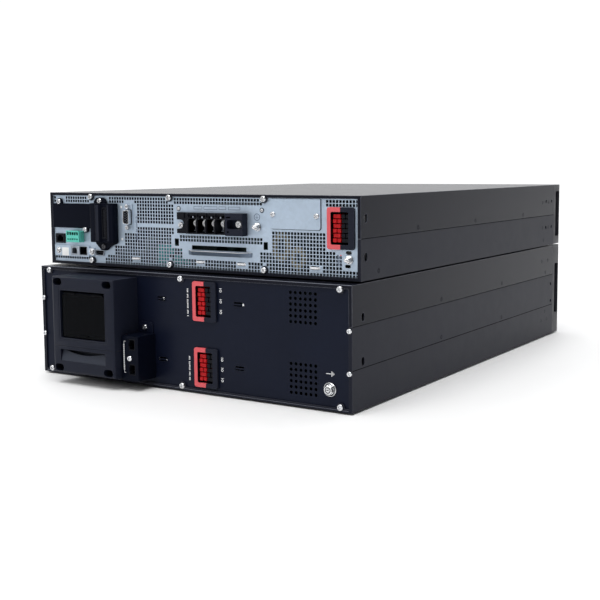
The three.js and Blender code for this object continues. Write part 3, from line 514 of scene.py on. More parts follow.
for j in range(-62, 48):
    for k in range(0, 21):
        x, zr = 27.0 + PX * j, 80.3 - PZ * k
        if not any(a <= x <= b and c <= zr <= d for a, b, c, d in PERF_IN):
            continue
        if any(a <= x <= b and c <= zr <= d for a, b, c, d in PERF_OUT):
            continue
        if any(math.hypot(x - lx, zr - lz) < 6.4 for lx, lz in LUGS):
            continue
        perf.append(rect(x - HW / 2, x + HW / 2, U + zr - HH / 2, U + zr + HH / 2))
BRIDGES = [(82.6, 10.9), (-12.4, 10.9), (-68.6, 10.9), (-163.2, 11.1)]
big = [
    rect(198.6, 209.6, U + 26.4, U + 35.4),                      # alarm jack
    rect(166.4, 184.9, U + 28.4, U + 39.2),                      # signal header
    rect(158, 189, U + 11, U + 22.6),                            # card
    [(132.8, U + 17.9), (146.6, U + 17.9), (146.6, U + 16.0), (145.2, U + 12.7), (134.2, U + 12.7), (132.8, U + 16.0)],
    rrect(88.4, 96.2, U + 50.4, U + 67.0, 1.6, 3),               # serial port
    rect(-52.5, 1.4, U + 43.4, U + 64.5),                        # terminal block
    rect(-209.4, -181.8, U + 33.8, U + 72.4),                    # battery connector
    rect(-160, -118, U + 54, U + 74),                            # option slot
    rect(-75.6, -0.4, U + 24.4, U + 29.2),                       # slot over the pull bar
    rect(18.3, 24.3, U + 27.7, U + 36.1), rect(-104.0, -98.4, U + 27.7, U + 35.9),
    rrect(-207.4, -200.4, U + 26.6, U + 30.2, 1.6, 4), rrect(-206.2, -199.4, U + 12.9, U + 16.3, 1.6, 4),
]
big += [rrect(x - 5.6, x + 5.6, U + z - 1.9, U + z + 1.9, 1.2, 3) for x, z in BRIDGES]
def span(pts):
    return min(a for a, _ in pts), max(a for a, _ in pts), min(b for _, b in pts), max(b for _, b in pts)
taken = [span(h) for h in big]
perf = [h for h in perf if not any(span(h)[0] < b + 0.3 and span(h)[1] > a - 0.3 and span(h)[2] < d + 0.3 and span(h)[3] > c - 0.3 for a, b, c, d in taken)]
p = Part()
p.plate(rect(-217.2, 217.2, 135.8, 218.7), perf + big, "y", UP1 - 0.5, UP1)
p.box(-217.2, 217.2, UP1 - 12, UP1 - 10.8, 135.8, 137.0)        # folded lower flange
p.box(-217.2, 217.2, UP1 - 12, UP1 - 0.55, 135.8, 137.0)
panel = p.obj("ups_rear_panel_skin", "zinc", "ups_module", ["ups_rear_panel"])

# small raised details of the same panel
p = Part()
for x, z in BRIDGES:
    path = [(x - 6.0, UP1 + 0.05), (x - 4.9, UP1 + 0.3), (x - 4.0, UP1 + 1.5), (x + 4.0, UP1 + 1.5), (x + 4.9, UP1 + 0.3), (x + 6.0, UP1 + 0.05)]
    p.prism(thick(path, 0.7), "z", U + z - 1.25, U + z + 1.25)
p.obj("panel_bridges", "nickel", "ups_module", bevel=0.18)
p = Part()
for x, z, r in ((104.3, 70.1, 1.5), (103.8, 32.7, 1.5)):
    p.lathe("y", x, U + z, [(UP1 - 0.3, 0), (UP1 - 0.3, r), (UP1 + 0.25, r), (UP1 + 0.6, r * 0.55), (UP1 + 0.65, 0)], 16)
screw(p, 17.7, UP1, U + 69.8, 2.0, 1.1, 0.5, mi=1)
screw(p, -96.8, UP1, U + 69.8, 2.0, 1.1, 1.0, mi=1)
for x, z in ((17.7, 69.8), (-96.8, 69.8)):
    p.plate(ring(x, U + z, 2.9, 20), [ring(x, U + z, 2.2, 20)], "y", UP1, UP1 + 0.08, 2)
p.obj("panel_rivets", ["bright", "nickel", "seam"], "ups_module")

# what can be seen through the perforations
p = Part()
p.box(26, 76, 236, 237.6, U + 4, U + 26)
for i in range(4):
    p.box(24 + 9 * i, 29 + 9 * i, 237.6, 241, U + 9 + 3 * (i % 3), U + 15 + 3 * (i % 3), 1)
p.cyl("y", 40, U + 24, 237.6, 245, 3.2, 16, 1, 0.6)
p.obj("filter_board", ["board", "dark"], "ups_module")
p = Part()
for x, z, R, r in ((-106, U + 30, 9.5, 3.6), (-128, U + 18, 7.0, 3.0)):
    n, m = 40, 10
    v, f = [], []
    for i in range(n):
        a = 2 * math.pi * i / n
        for k in range(m):
            b = 2 * math.pi * k / m
            v.append((x + (R + r * math.cos(b)) * math.cos(a), 244 + r * math.sin(b) * 1.2, z + (R + r * math.cos(b)) * math.sin(a) * 1.35))
    f = [(i * m + k, ((i + 1) % n) * m + k, ((i + 1) % n) * m + (k + 1) % m, i * m + (k + 1) % m) for i in range(n) for k in range(m)]
    p.add(v, f)
p.obj("line_chokes", "tan", "ups_module")

# panel screws, one object per body
p = Part()
for i, (x, z) in enumerate(LUGS):
    screw(p, x, 269.7, U + z, 3.6, 1.8, 0.3 + 0.9 * i)
p.obj("ups_panel_screw_heads", "nickel", "ups_module", ["ups_panel_screws_top", "ups_panel_screws_bottom"])

# ----------------------------------------------------------- flat cover plate
p = Part()
outline = [(149.4, 178.0)]
lower = [(160.4 + 4.4 * math.cos(t), 176.9 + 4.4 * math.sin(t)) for t in np.linspace(math.pi, 2 * math.pi, 11)]
outline += [(156.0, 178.0)] + lower + [(164.8, 178.0), (213.8, 178.0), (213.8, 207.3), (207.9, 207.3)]
outline += [(203.2 + 4.6 * math.cos(t), 209.0 + 4.6 * math.sin(t)) for t in np.linspace(0, math.pi, 11)]
outline += [(198.6, 207.3), (149.4, 207.3)]
p.plate(outline, [], "y", PY, PY + 2.5)
p.obj("flat_cover_moulding", "cover", "ups_module", ["flat_cover_plate"], bevel=0.5, seg=3)
p = Part()
screw(p, 203.2, PY + 2.5, 209.6, 3.3, 1.6, 0.9)
screw(p, 160.4, PY + 2.5, 176.2, 3.3, 1.6, 0.2)
p.obj("flat_cover_screws", "nickel", "ups_module")

# --------------------------------------------------------- ribbed moulded cover
def ribbed():
    y = PY
    prof = [(109.4, y), (146.3, y), (146.3, y + 8.0), (145.6, y + 9.0), (144.2, y + 9.3), (137.4, y + 9.3), (136.9, y + 9.9),
            (135.8, y + 10.15), (131.2, y + 10.15), (130.2, y + 9.8), (129.5, y + 9.0), (128.9, y + 7.4), (128.3, y + 6.9),
            (120.4, y + 6.9), (119.6, y + 7.4), (119.1, y + 9.0), (118.3, y + 9.9), (117.2, y + 10.15), (115.0, y + 10.15),
            (113.6, y + 9.6), (112.4, y + 9.2), (110.6, y + 9.0), (109.4, y + 7.8)]
    q = Part()
    q.prism(prof, "z", 162.5, 208.4)
    # funnel-shaped lower tab and upper tab
    q.prism([(110.2, 163.2), (144.0, 163.2), (143.6, 160.6), (140.2, 157.4), (137.3, 154.8), (136.4, 153.4), (134.6, 152.7), (126.8, 152.7),
             (124.8, 153.4), (123.4, 155.4), (118.6, 158.2), (111.0, 161.0)], "y", y, y + 2.5)
    q.prism([(126, 207.6), (145.6, 207.6), (145.6, 210.4), (143.4, 213.2), (140.6, 215.0), (131.4, 215.0), (128.2, 213.2), (126, 210.4)], "y", y, y + 2.5)
    # side lugs of the tabs
    q.prism([(139.4, 162.8), (144.6, 162.8), (144.6, 166.2), (139.4, 166.2)], "y", y, y + 4.2)
    o = q.obj("ribbed_cover_moulding", "cover", "ups_module", ["ribbed_cover"], bevel=0.45, seg=3)
    # long recess with a raised pad inside the groove
    q = Part()
    q.plate(rrect(120.8, 128.0, 167.0, 203.6, 0.9, 3), [rrect(121.9, 126.9, 168.4, 202.2, 0.7, 3)], "y", y + 6.8, y + 7.9)
    q.prism(rrect(122.6, 126.2, 169.4, 201.0, 0.6, 3), "y", y + 6.7, y + 7.3)
    for z in np.arange(172, 200, 4.2):
        q.prism(rrect(122.9, 125.9, z, z + 1.1, 0.3, 2), "y", y + 7.2, y + 7.6)
    q.obj("ribbed_cover_groove", "black", "ups_module", bevel=0.15)
    # ridge rails in the lighter charcoal rather than the cover's own plastic: painted highlight along the ridges
    q = Part()
    for x0, x1 in ((131.4, 135.6), (115.2, 117.2)):
        q.prism(rrect(x0, x1, 164.4, 206.6, 0.6, 3), "y", y + 10.0, y + 10.2)
    q.obj("ribbed_cover_rails", "char", "ups_module")
    q = Part()
    screw(q, 135.6, y + 2.5, 211.0, 3.3, 1.7, 0.7)
    q.obj("ribbed_cover_screw", "nickel", "ups_module")
    q = Part()
    screw(q, 130.4, y + 2.5, 157.2, 3.2, 1.6, 0.1)
    q.obj("ribbed_cover_lower_screw", "screw_dark", "ups_module")
ribbed()

# ------------------------------------------------------------------ alarm jack
def jack_inside(part, x0, x1, z0, z1, ymouth, depth, tooth_top=True, mi_shell=0, mi_gold=1, wires=6):
    """Modular jack: walls, back wall and spring contacts."""
    w = 0.9
    part.plate(rect(x0, x1, z0, z1), [[(x0 + w, z0 + w), (x1 - w, z0 + w), (x1 - w, z1 - w), (x0 + w, z1 - w)]], "y", ymouth - depth, ymouth, mi_shell)
    part.box(x0 + w, x1 - w, ymouth - depth, ymouth - depth + 0.8, z0 + w, z1 - w, mi_shell)
    n = wires
    ww = (x1 - x0 - 2 * w - 1.2) / n
    for i in range(n):
        cx = x0 + w + 0.6 + ww * (i + 0.5)
        if tooth_top:
            path = [(ymouth - depth + 0.5, z1 - w - 0.6), (ymouth - 3.0, z1 - w - 0.9), (ymouth - depth + 3.2, z0 + (z1 - z0) * 0.52)]
        else:
            path = [(ymouth - depth + 0.5, z0 + w + 0.6), (ymouth - 3.0, z0 + w + 0.9), (ymouth - depth + 3.2, z0 + (z1 - z0) * 0.48)]
        part.prism(thick(path, 0.35), "x", cx - ww * 0.26, cx + ww * 0.26, mi_gold)

p = Part()
p.plate(rect(196.4, 211.8, 159.1, 170.6), [[(199.0, 161.2), (209.2, 161.2), (209.2, 166.9), (206.6, 166.9), (206.6, 168.6), (201.6, 168.6), (201.6, 166.9), (199.0, 166.9)]], "y", PY, PY + 1.5)
jack_inside(p, 198.0, 210.2, 160.3, 169.5, PY + 0.1, 14.5, False)
p.obj("alarm_jack_body", ["black", "gold"], "ups_module", ["alarm_jack"], bevel=0.18)

# --------------------------------------------------------- signal header, plug
p = Part()
p.plate(rect(165.0, 186.4, 161.0, 174.7), [rect(167.6, 183.8, 163.8, 172.0)], "y", PY, PY + 1.4)
p.plate(rect(166.8, 184.6, 163.1, 172.7), [rect(167.6, 183.8, 163.8, 172.0)], "y", 254, PY + 0.2)
p.box(166.8, 184.6, 252.8, 254.2, 163.1, 172.7)
p.obj("signal_header_body", "green", "ups_module", ["signal_header"], bevel=0.2)
y0 = PY + 1.7
p = Part()
cells = [166.75 + 3.78 * i for i in range(5)]
p.plate(rect(165.2, 186.2, 161.3, 174.6), [rect(c - 0.1, c + 2.85, 169.7, 173.3) for c in cells] + [ring(c + 1.38, 164.9, 1.15, 14) for c in cells], "y", y0 + 6.2, y0 + 7.4)
p.plate(rect(165.2, 186.2, 161.3, 174.6), [rect(166.0, 185.4, 162.1, 173.8)], "y", y0 + 2.0, y0 + 6.3)
p.box(165.9, 185.5, y0 + 2.0, y0 + 4.4, 162.0, 173.9, 3)
p.box(165.2, 186.2, y0, y0 + 1.0, 161.3, 174.6)
p.box(165.9, 185.5, y0 + 0.9, y0 + 2.1, 162.0, 173.9, 2)
p.box(168.4, 183.0, 258.6, y0 + 0.1, 164.6, 171.2)
for c in cells:      # clamp plates inside the wire holes, screws under them
    p.lathe("y", c + 1.38, 164.9, [(y0 + 2.0, 0), (y0 + 2.0, 1.05), (y0 + 5.2, 1.05), (y0 + 5.6, 0.8), (y0 + 5.6, 0)], 14, 1)
for c in cells[:-1]:
    p.box(c + 3.0, c + 3.5, y0 + 7.3, y0 + 7.7, 161.9, 168.6)
p.box(165.2, 186.2, y0 + 5.0, y0 + 7.9, 174.0, 175.0)
p.obj("signal_plug_body", ["green", "nickel", "dark", "seam"], "signal_plug", ["signal_plug"], bevel=0.22)

# ---------------------------------------------------------- communication card
p = Part()
face = [(147.6, 145.9), (156.6, 145.9), (156.6, 143.4), (214.0, 143.4), (214.0, 156.8), (156.6, 156.8), (156.6, 154.5), (147.6, 154.5)]
usb = rect(175.9, 186.1, 145.9, 155.1)
rj = rect(160.2, 172.4, 145.8, 155.8)
p.plate(face, [usb, rj], "y", PY, PY + 1.1)
p.obj("card_face", "zinc", "ups_module", ["comms_card"], bevel=0.2)
p = Part()
# raised surround of the two sockets
p.plate(rrect(158.9, 187.2, 144.6, 156.2, 0.6, 3), [rect(175.9, 186.0, 145.9, 155.2), rect(160.2, 172.5, 145.7, 155.7)], "y", PY + 1.0, PY + 1.15)
p.plate(rect(176.0, 186.0, 146.0, 155.0), [[(177.0, 146.9), (185.0, 146.9), (185.0, 152.4), (183.4, 154.1), (178.6, 154.1), (177.0, 152.4)]], "y", 250.5, PY + 0.9, 1)
p.box(176.9, 185.1, 250.5, 251.5, 146.9, 154.1, 2)
p.prism(rrect(178.8, 183.2, 148.8, 152.2, 0.5, 2), "y", 251, 264.0, 2)
for z in (148.55, 152.25):
    for x in (179.6, 181.4):
        p.box(x, x + 0.9, 252, 263.0, z, z + 0.22, 3)
jack_inside(p, 160.3, 172.3, 145.9, 155.7, PY + 0.1, 15, False, 2, 3, 8)
p.obj("card_sockets", ["zinc_dark", "zinc_dark", "black", "gold"], "ups_module", bevel=0.12)
p = Part()
p.box(158, 212, 196, 197.6 + 69.5, 145.0, 146.0)
for i in range(5):
    p.box(165 + 9 * i, 171 + 9 * i, 210, 218, 146.0, 148.4, 1)
p.obj("card_board", ["pcb", "black"], "ups_module")
p = Part()
p.prism(rrect(190.4, 201.8, 143.9, 153.8, 0.5, 3), "y", PY + 1.1, PY + 1.18)
p.obj("blank_label", "label", "ups_module")
p = Part()
screw(p, 207.0, PY + 1.1, 150.0, 3.2, 1.9, 0.5)
screw(p, 151.6, PY + 1.1, 150.2, 3.4, 1.9, 1.1)
for sx, sz in ((207.0, 150.0), (151.6, 150.2)):
    p.lathe("y", sx, sz, [(PY + 1.0, 2.0), (PY + 1.0, 4.2), (PY + 1.35, 4.2), (PY + 1.35, 2.0)], 20)
p.obj("card_screws", "nickel", "ups_module")
p = Part()
D = [(131.6, 152.9), (147.8, 152.9), (147.8, 149.8), (145.9, 145.7), (133.5, 145.7), (131.6, 149.8)]
Di = [(132.7, 152.0), (146.7, 152.0), (146.7, 150.0), (145.2, 146.6), (134.2, 146.6), (132.7, 150.0)]
p.plate(D, [Di], "y", PY, PY + 1.1)
p.prism([(133.0, 151.7), (146.4, 151.7), (146.4, 150.0), (145.0, 146.9), (134.4, 146.9), (133.0, 150.0)], "y", 256, PY - 3.5, 1)
p.prism(rrect(135.2, 144.2, 149.0, 150.2, 0.3, 2), "y", PY - 3.6, PY + 0.2, 1)
p.obj("small_d_port", ["zinc_dark", "black"], "ups_module", bevel=0.15)

# --------------------------------------------------------------- serial port
p = Part()
shell_o = rrect(87.7, 96.9, 184.3, 201.3, 2.3, 5)
shell_i = rrect(88.4, 96.2, 185.0, 200.6, 1.8, 5)
def dshape(x0, x1, z0, z1, r=1.8, lean=1.0):
    """D-sub outline, long side vertical, wide side towards -X."""
    pts = rrect(x0, x1, z0, z1, r, 4)
    out = []
    for a, b in pts:
        t = (a - x0) / (x1 - x0)
        out.append((a, (z0 + z1) / 2 + (b - (z0 + z1) / 2) * (1 - 0.11 * t * lean)))
    return out
p.plate(rrect(86.2, 98.4, 177.6, 208.0, 0.9, 3), [dshape(87.9, 96.7, 184.5, 201.1), ring(92.3, 180.6, 1.6, 14), ring(92.3, 205.0, 1.6, 14)], "y", PY, PY + 0.8)
p.plate(dshape(87.8, 96.8, 184.4, 201.2), [dshape(88.4, 96.2, 185.0, 200.6)], "y", PY + 0.1, PY + 6.0, 1)
# dark ring round the shell: painted shadow
p.plate(dshape(87.0, 97.6, 183.5, 202.1, 2.2), [dshape(87.7, 96.9, 184.3, 201.3)], "y", PY + 0.75, PY + 1.0, 2)
p.obj("serial_shell", ["zinc", "nickel", "seam"], "ups_module", ["serial_port"], bevel=0.15)
p = Part()
pins = [(90.9, 192.8 + 2.77 * k) for k in (-2, -1, 0, 1, 2)] + [(93.7, 192.8 + 2.77 * (k + 0.5)) for k in (-2, -1, 0, 1)]
p.plate(dshape(88.6, 96.0, 185.2, 200.4, 1.7), [ring(a, b, 0.62, 10) for a, b in pins], "y", PY + 2.4, PY + 5.6)
p.prism(dshape(88.6, 96.0, 185.2, 200.4, 1.7), "y", 257, PY + 2.5)
for a, b in pins:
    p.cyl("y", a, b, PY + 2.4, PY + 5.2, 0.5, 10, 1, 0.15)
p.obj("serial_insert", ["black", "zinc_dark"], "ups_module", bevel=0.12)
p = Part()
for z in (180.6, 205.0):
    p.lathe("y", 92.3, z, [(PY + 0.7, 0), (PY + 0.7, 2.9), (PY + 4.4, 2.9), (PY + 4.9, 2.4), (PY + 4.9, 1.3), (PY + 2.2, 1.3), (PY + 2.2, 0)], 6, turn=0.3)
    for h in (2.6, 3.2, 3.8, 4.4):
        p.lathe("y", 92.3, z, [(PY + h - 0.12, 1.32), (PY + h, 1.12), (PY + h + 0.12, 1.32)], 14)
p.obj("serial_standoffs", "nickel", "ups_module", bevel=0.12)

# -------------------------------------------------------------- terminal block
WELL = [-8.1, -20.9, -33.7, -46.4]
def terminals():
    z0, z1 = 176.4, 199.9
    q = Part()
    y = PY
    wells = [rrect(x - 5.6, x + 5.6, z0 + 1.2, z1 - 6.8, 0.8, 3) for x in WELL]
    slots = [rrect(x - 5.0, x - 1.6, z1 - 5.2, z1 - 2.6, 0.5, 2) for x in WELL] + [rrect(x + 0.8, x + 3.8, z1 - 6.2, z1 - 3.2, 0.5, 2) for x in WELL]
    q.plate(rect(-54.4, 2.6, z0, z1), wells + slots, "y", y, y + 6.6)
    q.plate(rect(-52.4, 0.9, 177.2, 198.0), wells, "y", y - 6.0, y + 0.1)
    q.box(-52.4, 0.9, y - 7.4, y - 5.9, 177.2, 198.0)
    # barrier walls stand prouder than the body, with a step at their upper end
    for x in [-1.7, -14.5, -27.3, -40.05, -53.6]:
        q.prism([(y - 5, z0 + 1.8), (y, z0 + 1.8), (y, z0), (y + 8.8, z0 + 0.5), (y + 9.2, z0 + 1.2), (y + 9.2, z1 - 9.4), (y + 8.0, z1 - 8.0), (y + 6.5, z1 - 6.6), (y - 5, z1 - 6.6)], "x", x - 0.8, x + 0.8)
        q.prism([(y + 6.4, z1 - 5.0), (y + 8.4, z1 - 4.6), (y + 8.4, z1 - 0.6), (y + 6.4, z1 - 0.2)], "x", x - 0.8, x + 0.8)
    # hinge rail for a clear cover above the wells
    q.box(-54.4, 2.6, y + 6.5, y + 7.3, z1 - 1.9, z1 - 0.2)
    ear = [(2.2, z0), (18.0, z0), (18.0, 181.4)]
    ear += [(12.9 + 5.0 * math.cos(t), 186.6 + 5.2 * math.sin(t)) for t in np.linspace(-math.pi / 2, -3 * math.pi / 2, 15)]
    ear += [(18.0, 191.8), (18.0, z1), (2.2, z1)]
    q.prism(ear, "y", y, y + 3.0)
    q.prism([(6.4, z1 - 6.6), (16.8, z1 - 6.6), (16.8, z1 - 0.8), (6.4, z1 - 0.8)], "y", y + 2.9, y + 4.4)
    q.prism([(4.4, z0 + 0.6), (16.8, z0 + 0.6), (16.8, z0 + 3.6), (4.4, z0 + 3.6)], "y", y + 2.9, y + 4.0)
    q.box(-50, -1, 252, y - 5.9, 180.2, 196.8)
    q.obj("terminal_body", "black", "ups_module", ["terminal_block"], bevel=0.22)
    q = Part()
    for i, x in enumerate(WELL):
        # clamp plate bent at its lower end, with its screw
        q.prism(thick([(y - 0.6, z0 + 3.0), (y - 3.2, z0 + 4.6), (y - 3.2, z1 - 10.2)], 0.8), "x", x - 4.6, x + 4.6, 1)
        screw(q, x, y - 0.2, 188.3, 3.5, 2.6, 0.25 + 0.6 * i, n=24)
        q.lathe("y", x, 188.3, [(y - 3.0, 2.6), (y - 3.0, 4.4), (y - 0.1, 4.4), (y - 0.1, 2.6)], 24)
    q.obj("terminal_screws", ["bright", "zinc_dark"], "ups_module", bevel=0.12)
    q = Part()
    screw(q, 13.2, y + 0.1, 185.4, 3.8, 2.4, 0.9, n=24)
    q.obj("terminal_ear_screw", "nickel", "ups_module")
    # small light grey marks over each pole
    q = Part()
    for x in WELL:
        q.box(x - 1.0, x + 0.5, y + 6.6, y + 6.75, z1 - 5.6, z1 - 3.9)
    q.obj("terminal_pole_marks", "zinc_dark", "ups_module")
    # cover block over the last poles, its screw at the bottom of a pocket
    q = Part()
    pocket = rrect(-76.8, -57.2, 183.2, 193.4, 2.5, 5)
    q.plate(rect(-77.8, -54.9, 175.9, 200.2), [pocket, rrect(-62.2, -55.9, 194.8, 196.6, 0.8, 2), rrect(-59.8, -57.2, 178.4, 181.2, 0.6, 2)], "y", y + 1.5, y + 9.9)
    q.box(-77.8, -54.9, y, y + 1.6, 175.9, 200.2)
    q.box(-76.2, -57.0, y + 9.85, y + 10.0, 197.4, 199.6)
    q.obj("terminal_cover_block", "char", "ups_module", ["terminal_cover"], bevel=0.3, seg=3)
    q = Part()
    screw(q, -68.4, y + 1.6, 188.2, 4.3, 2.4, 0.5, n=24)
    q.obj("terminal_cover_screw", "bright", "ups_module")
terminals()

# --------------------------------------------------------- ground studs, marks
def stud(name, x, z, body):
    q = Part()
    y = PY
    n = 28   # toothed washer
    w = [(x + (4.9 if i % 2 else 4.2) * math.cos(math.pi * i / n), z + (4.9 if i % 2 else 4.2) * math.sin(math.pi * i / n)) for i in range(2 * n)]
    q.plate(w, [ring(x, z, 2.2, 18)], "y", y, y + 0.8)
    q.lathe("y", x, z, [(y + 0.8, 2.0), (y + 0.8, 3.7), (y + 1.1, 4.0), (y + 3.6, 4.0), (y + 4.1, 3.5), (y + 4.1, 2.0)], 6, turn=0.35)
    prof = [(256.0, 0)]
    h = 256.0
    while h < y + 8.0:
        prof += [(h, 1.72), (h + 0.35, 2.0)]
        h += 0.7
    prof += [(y + 8.3, 1.5), (y + 8.3, 0)]
    q.lathe("y", x, z, prof, 16)
    return q.obj(name, "nickel", body)
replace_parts(stud("ground_stud_hardware", -91.0, 186.0, "ups_module"), "ups_ground_stud")
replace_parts(stud("aux_ground_stud_hardware", -204.5, 155.4, "ups_module"), "aux_ground_stud")

p = Part()
def earth(part, x, z, s, y, t=0.08):
    part.plate(ring(x, z, s, 28), [ring(x, z, s * 0.82, 28)], "y", y, y + t)
    part.box(x - s * 0.06, x + s * 0.06, y, y + t, z, z + s * 0.62)
    for k, w in enumerate((0.52, 0.34, 0.16)):
        part.box(x - s * w, x + s * w, y, y + t, z - s * (0.04 + 0.2 * k) - s * 0.05, z - s * (0.04 + 0.2 * k) + s * 0.05)
earth(p, -90.2, 196.4, 3.9, UP1)
# thin printed frames above the terminals
for x0, x1 in ((-4, -16), (-18, -37), (-39, -49), (-52, -68)):
    a, b = min(x0, x1), max(x0, x1)
    p.plate(rect(a, b, U + 69.4, U + 73.0), [rect(a + 0.55, b - 0.55, U + 69.95, U + 72.45)], "y", UP1, UP1 + 0.06)
k, zz = 3, U + 14.9
while zz < U + 26.4:
    k = (k * 7 + 3) % 11
    p.box(-192.2 + 0.1 * (k % 3), -190.0 - 0.12 * (k % 4), UP1, UP1 + 0.06, zz, zz + 0.9)
    p.box(-195.4 + 0.1 * (k % 4), -193.2 - 0.1 * (k % 3), UP1, UP1 + 0.06, zz + 0.2, zz + 1.1, 1 if zz > U + 24.6 else 0)
    zz += 1.5 + 0.15 * (k % 3)
k, zz = 6, U + 32.4
while zz < U + 59.6:
    k = (k * 7 + 3) % 11
    p.box(79.6 + 0.15 * (k % 3), 82.6 - 0.2 * (k % 4), UP1, UP1 + 0.06, zz, zz + 0.8)
    zz += 1.35 + (1.2 if k in (2, 9) else 0)
p.obj("printed_marks", ["grey_print", "red"], "ups_module")

# ------------------------------------------------------------ option slot cover
def lower_round(x0, x1, z0, z1, r, n=6):
    pts = [(x1, z1), (x0, z1)]
    pts += [(x0 + r - r * math.cos(t), z0 + r - r * math.sin(t)) for t in np.linspace(0, math.pi / 2, n)]
    pts += [(x1 - r + r * math.sin(t), z0 + r - r * math.cos(t)) for t in np.linspace(0, math.pi / 2, n)]
    return pts
# dark plate a little larger than the cover, just behind it: painted shadow round the cover's edge
p = Part()
p.prism(lower_round(-171.4, -108.2, 184.0, 216.4, 3.0), "y", UP1 - 0.2, UP1 + 0.25)
p.obj("option_cover_painted_shadow", "dark", "ups_module")
p = Part()
p.plate(lower_round(-170.8, -108.8, 184.6, 216.4, 2.6), [ring(-111.4, 199.8, 1.4, 12), ring(-166.3, 198.8, 1.4, 12)], "y", PY, PY + 1.1)
p.obj("option_cover_plate", "zinc", "ups_module", ["option_slot_cover"], bevel=0.3)
p = Part()
screw(p, -111.8, PY + 1.1, 199.8, 3.2, 1.5, 0.2)
screw(p, -166.3, PY + 1.1, 198.8, 3.2, 1.5, 0.8)
p.obj("option_cover_screws", "nickel", "ups_module")

# --------------------------------------------------------------------- pull bar
def pull_bar():
    def strip(y_in, dz0, dz1, back):
        """Outline in plan, one vertex ring per height; upper edge stands further out."""
        return [(3.8, PY + 0.05), (1.2, PY + 0.3), (0.2, PY + 0.9), (-5.4, y_in - 1.0), (-7.4, y_in), (-71.6, y_in), (-73.4, y_in - 1.0), (-79.0, PY + 0.9), (-80.2, PY + 0.3), (-83.2, PY + 0.05)]
    t = 1.15
    rows = []
    for z, yo in ((152.7, UP1 + 6.4), (154.6, UP1 + 7.9), (156.4, UP1 + 9.2), (157.5, UP1 + 10.2)):
        rows.append((z, [(x, y + t / 2) for x, y in strip(yo - t / 2, 0, 0, 0)], [(x, max(PY, y - t / 2)) for x, y in strip(yo - t / 2, 0, 0, 0)]))
    q = Part()
    v, f = [], []
    n = 10
    for z, outer, inner in rows:
        v += [(x, y, z) for x, y in outer] + [(x, y, z) for x, y in inner]
    for k in range(len(rows) - 1):
        a, b = k * 2 * n, (k + 1) * 2 * n
        for i in range(n - 1):
            f.append((a + i, a + i + 1, b + i + 1, b + i))
            f.append((a + n + i + 1, a + n + i, b + n + i, b + n + i + 1))
        f.append((a, b, b + n, a + n))
        f.append((a + n - 1, a + 2 * n - 1, b + 2 * n - 1, b + n - 1))
    a, b = 0, (len(rows) - 1) * 2 * n
    for i in range(n - 1):
        f.append((a + i, a + n + i, a + n + i + 1, a + i + 1))
        f.append((b + i, b + i + 1, b + n + i + 1, b + n + i))
    q.add(v, f)
    # lighter strip along the top, in the bright screw metal: painted highlight on the bar's upper edge
    e = len(v) - 2 * n
    rim = v[e:e + n] + v[e + n:e + 2 * n]
    rim = [(x, y, 157.45) for x, y, z in rim] + [(x, y, 157.95) for x, y, z in rim]
    rf = []
    for i in range(n - 1):
        rf += [(i, i + 1, 2 * n + i + 1, 2 * n + i), (n + i + 1, n + i, 3 * n + i, 3 * n + i + 1), (2 * n + i, 2 * n + i + 1, 3 * n + i + 1, 3 * n + i), (i, n + i, n + i + 1, i + 1)]
    rf += [(0, 2 * n, 3 * n, n), (n - 1, 2 * n - 1, 4 * n - 1, 3 * n - 1)]
    q.add(rim, rf, 1)
    q.obj("pull_bar_strip", ["bar", "bright"], "ups_module", ["pull_bar"], bevel=0.25, seg=2, angle=50)
pull_bar()

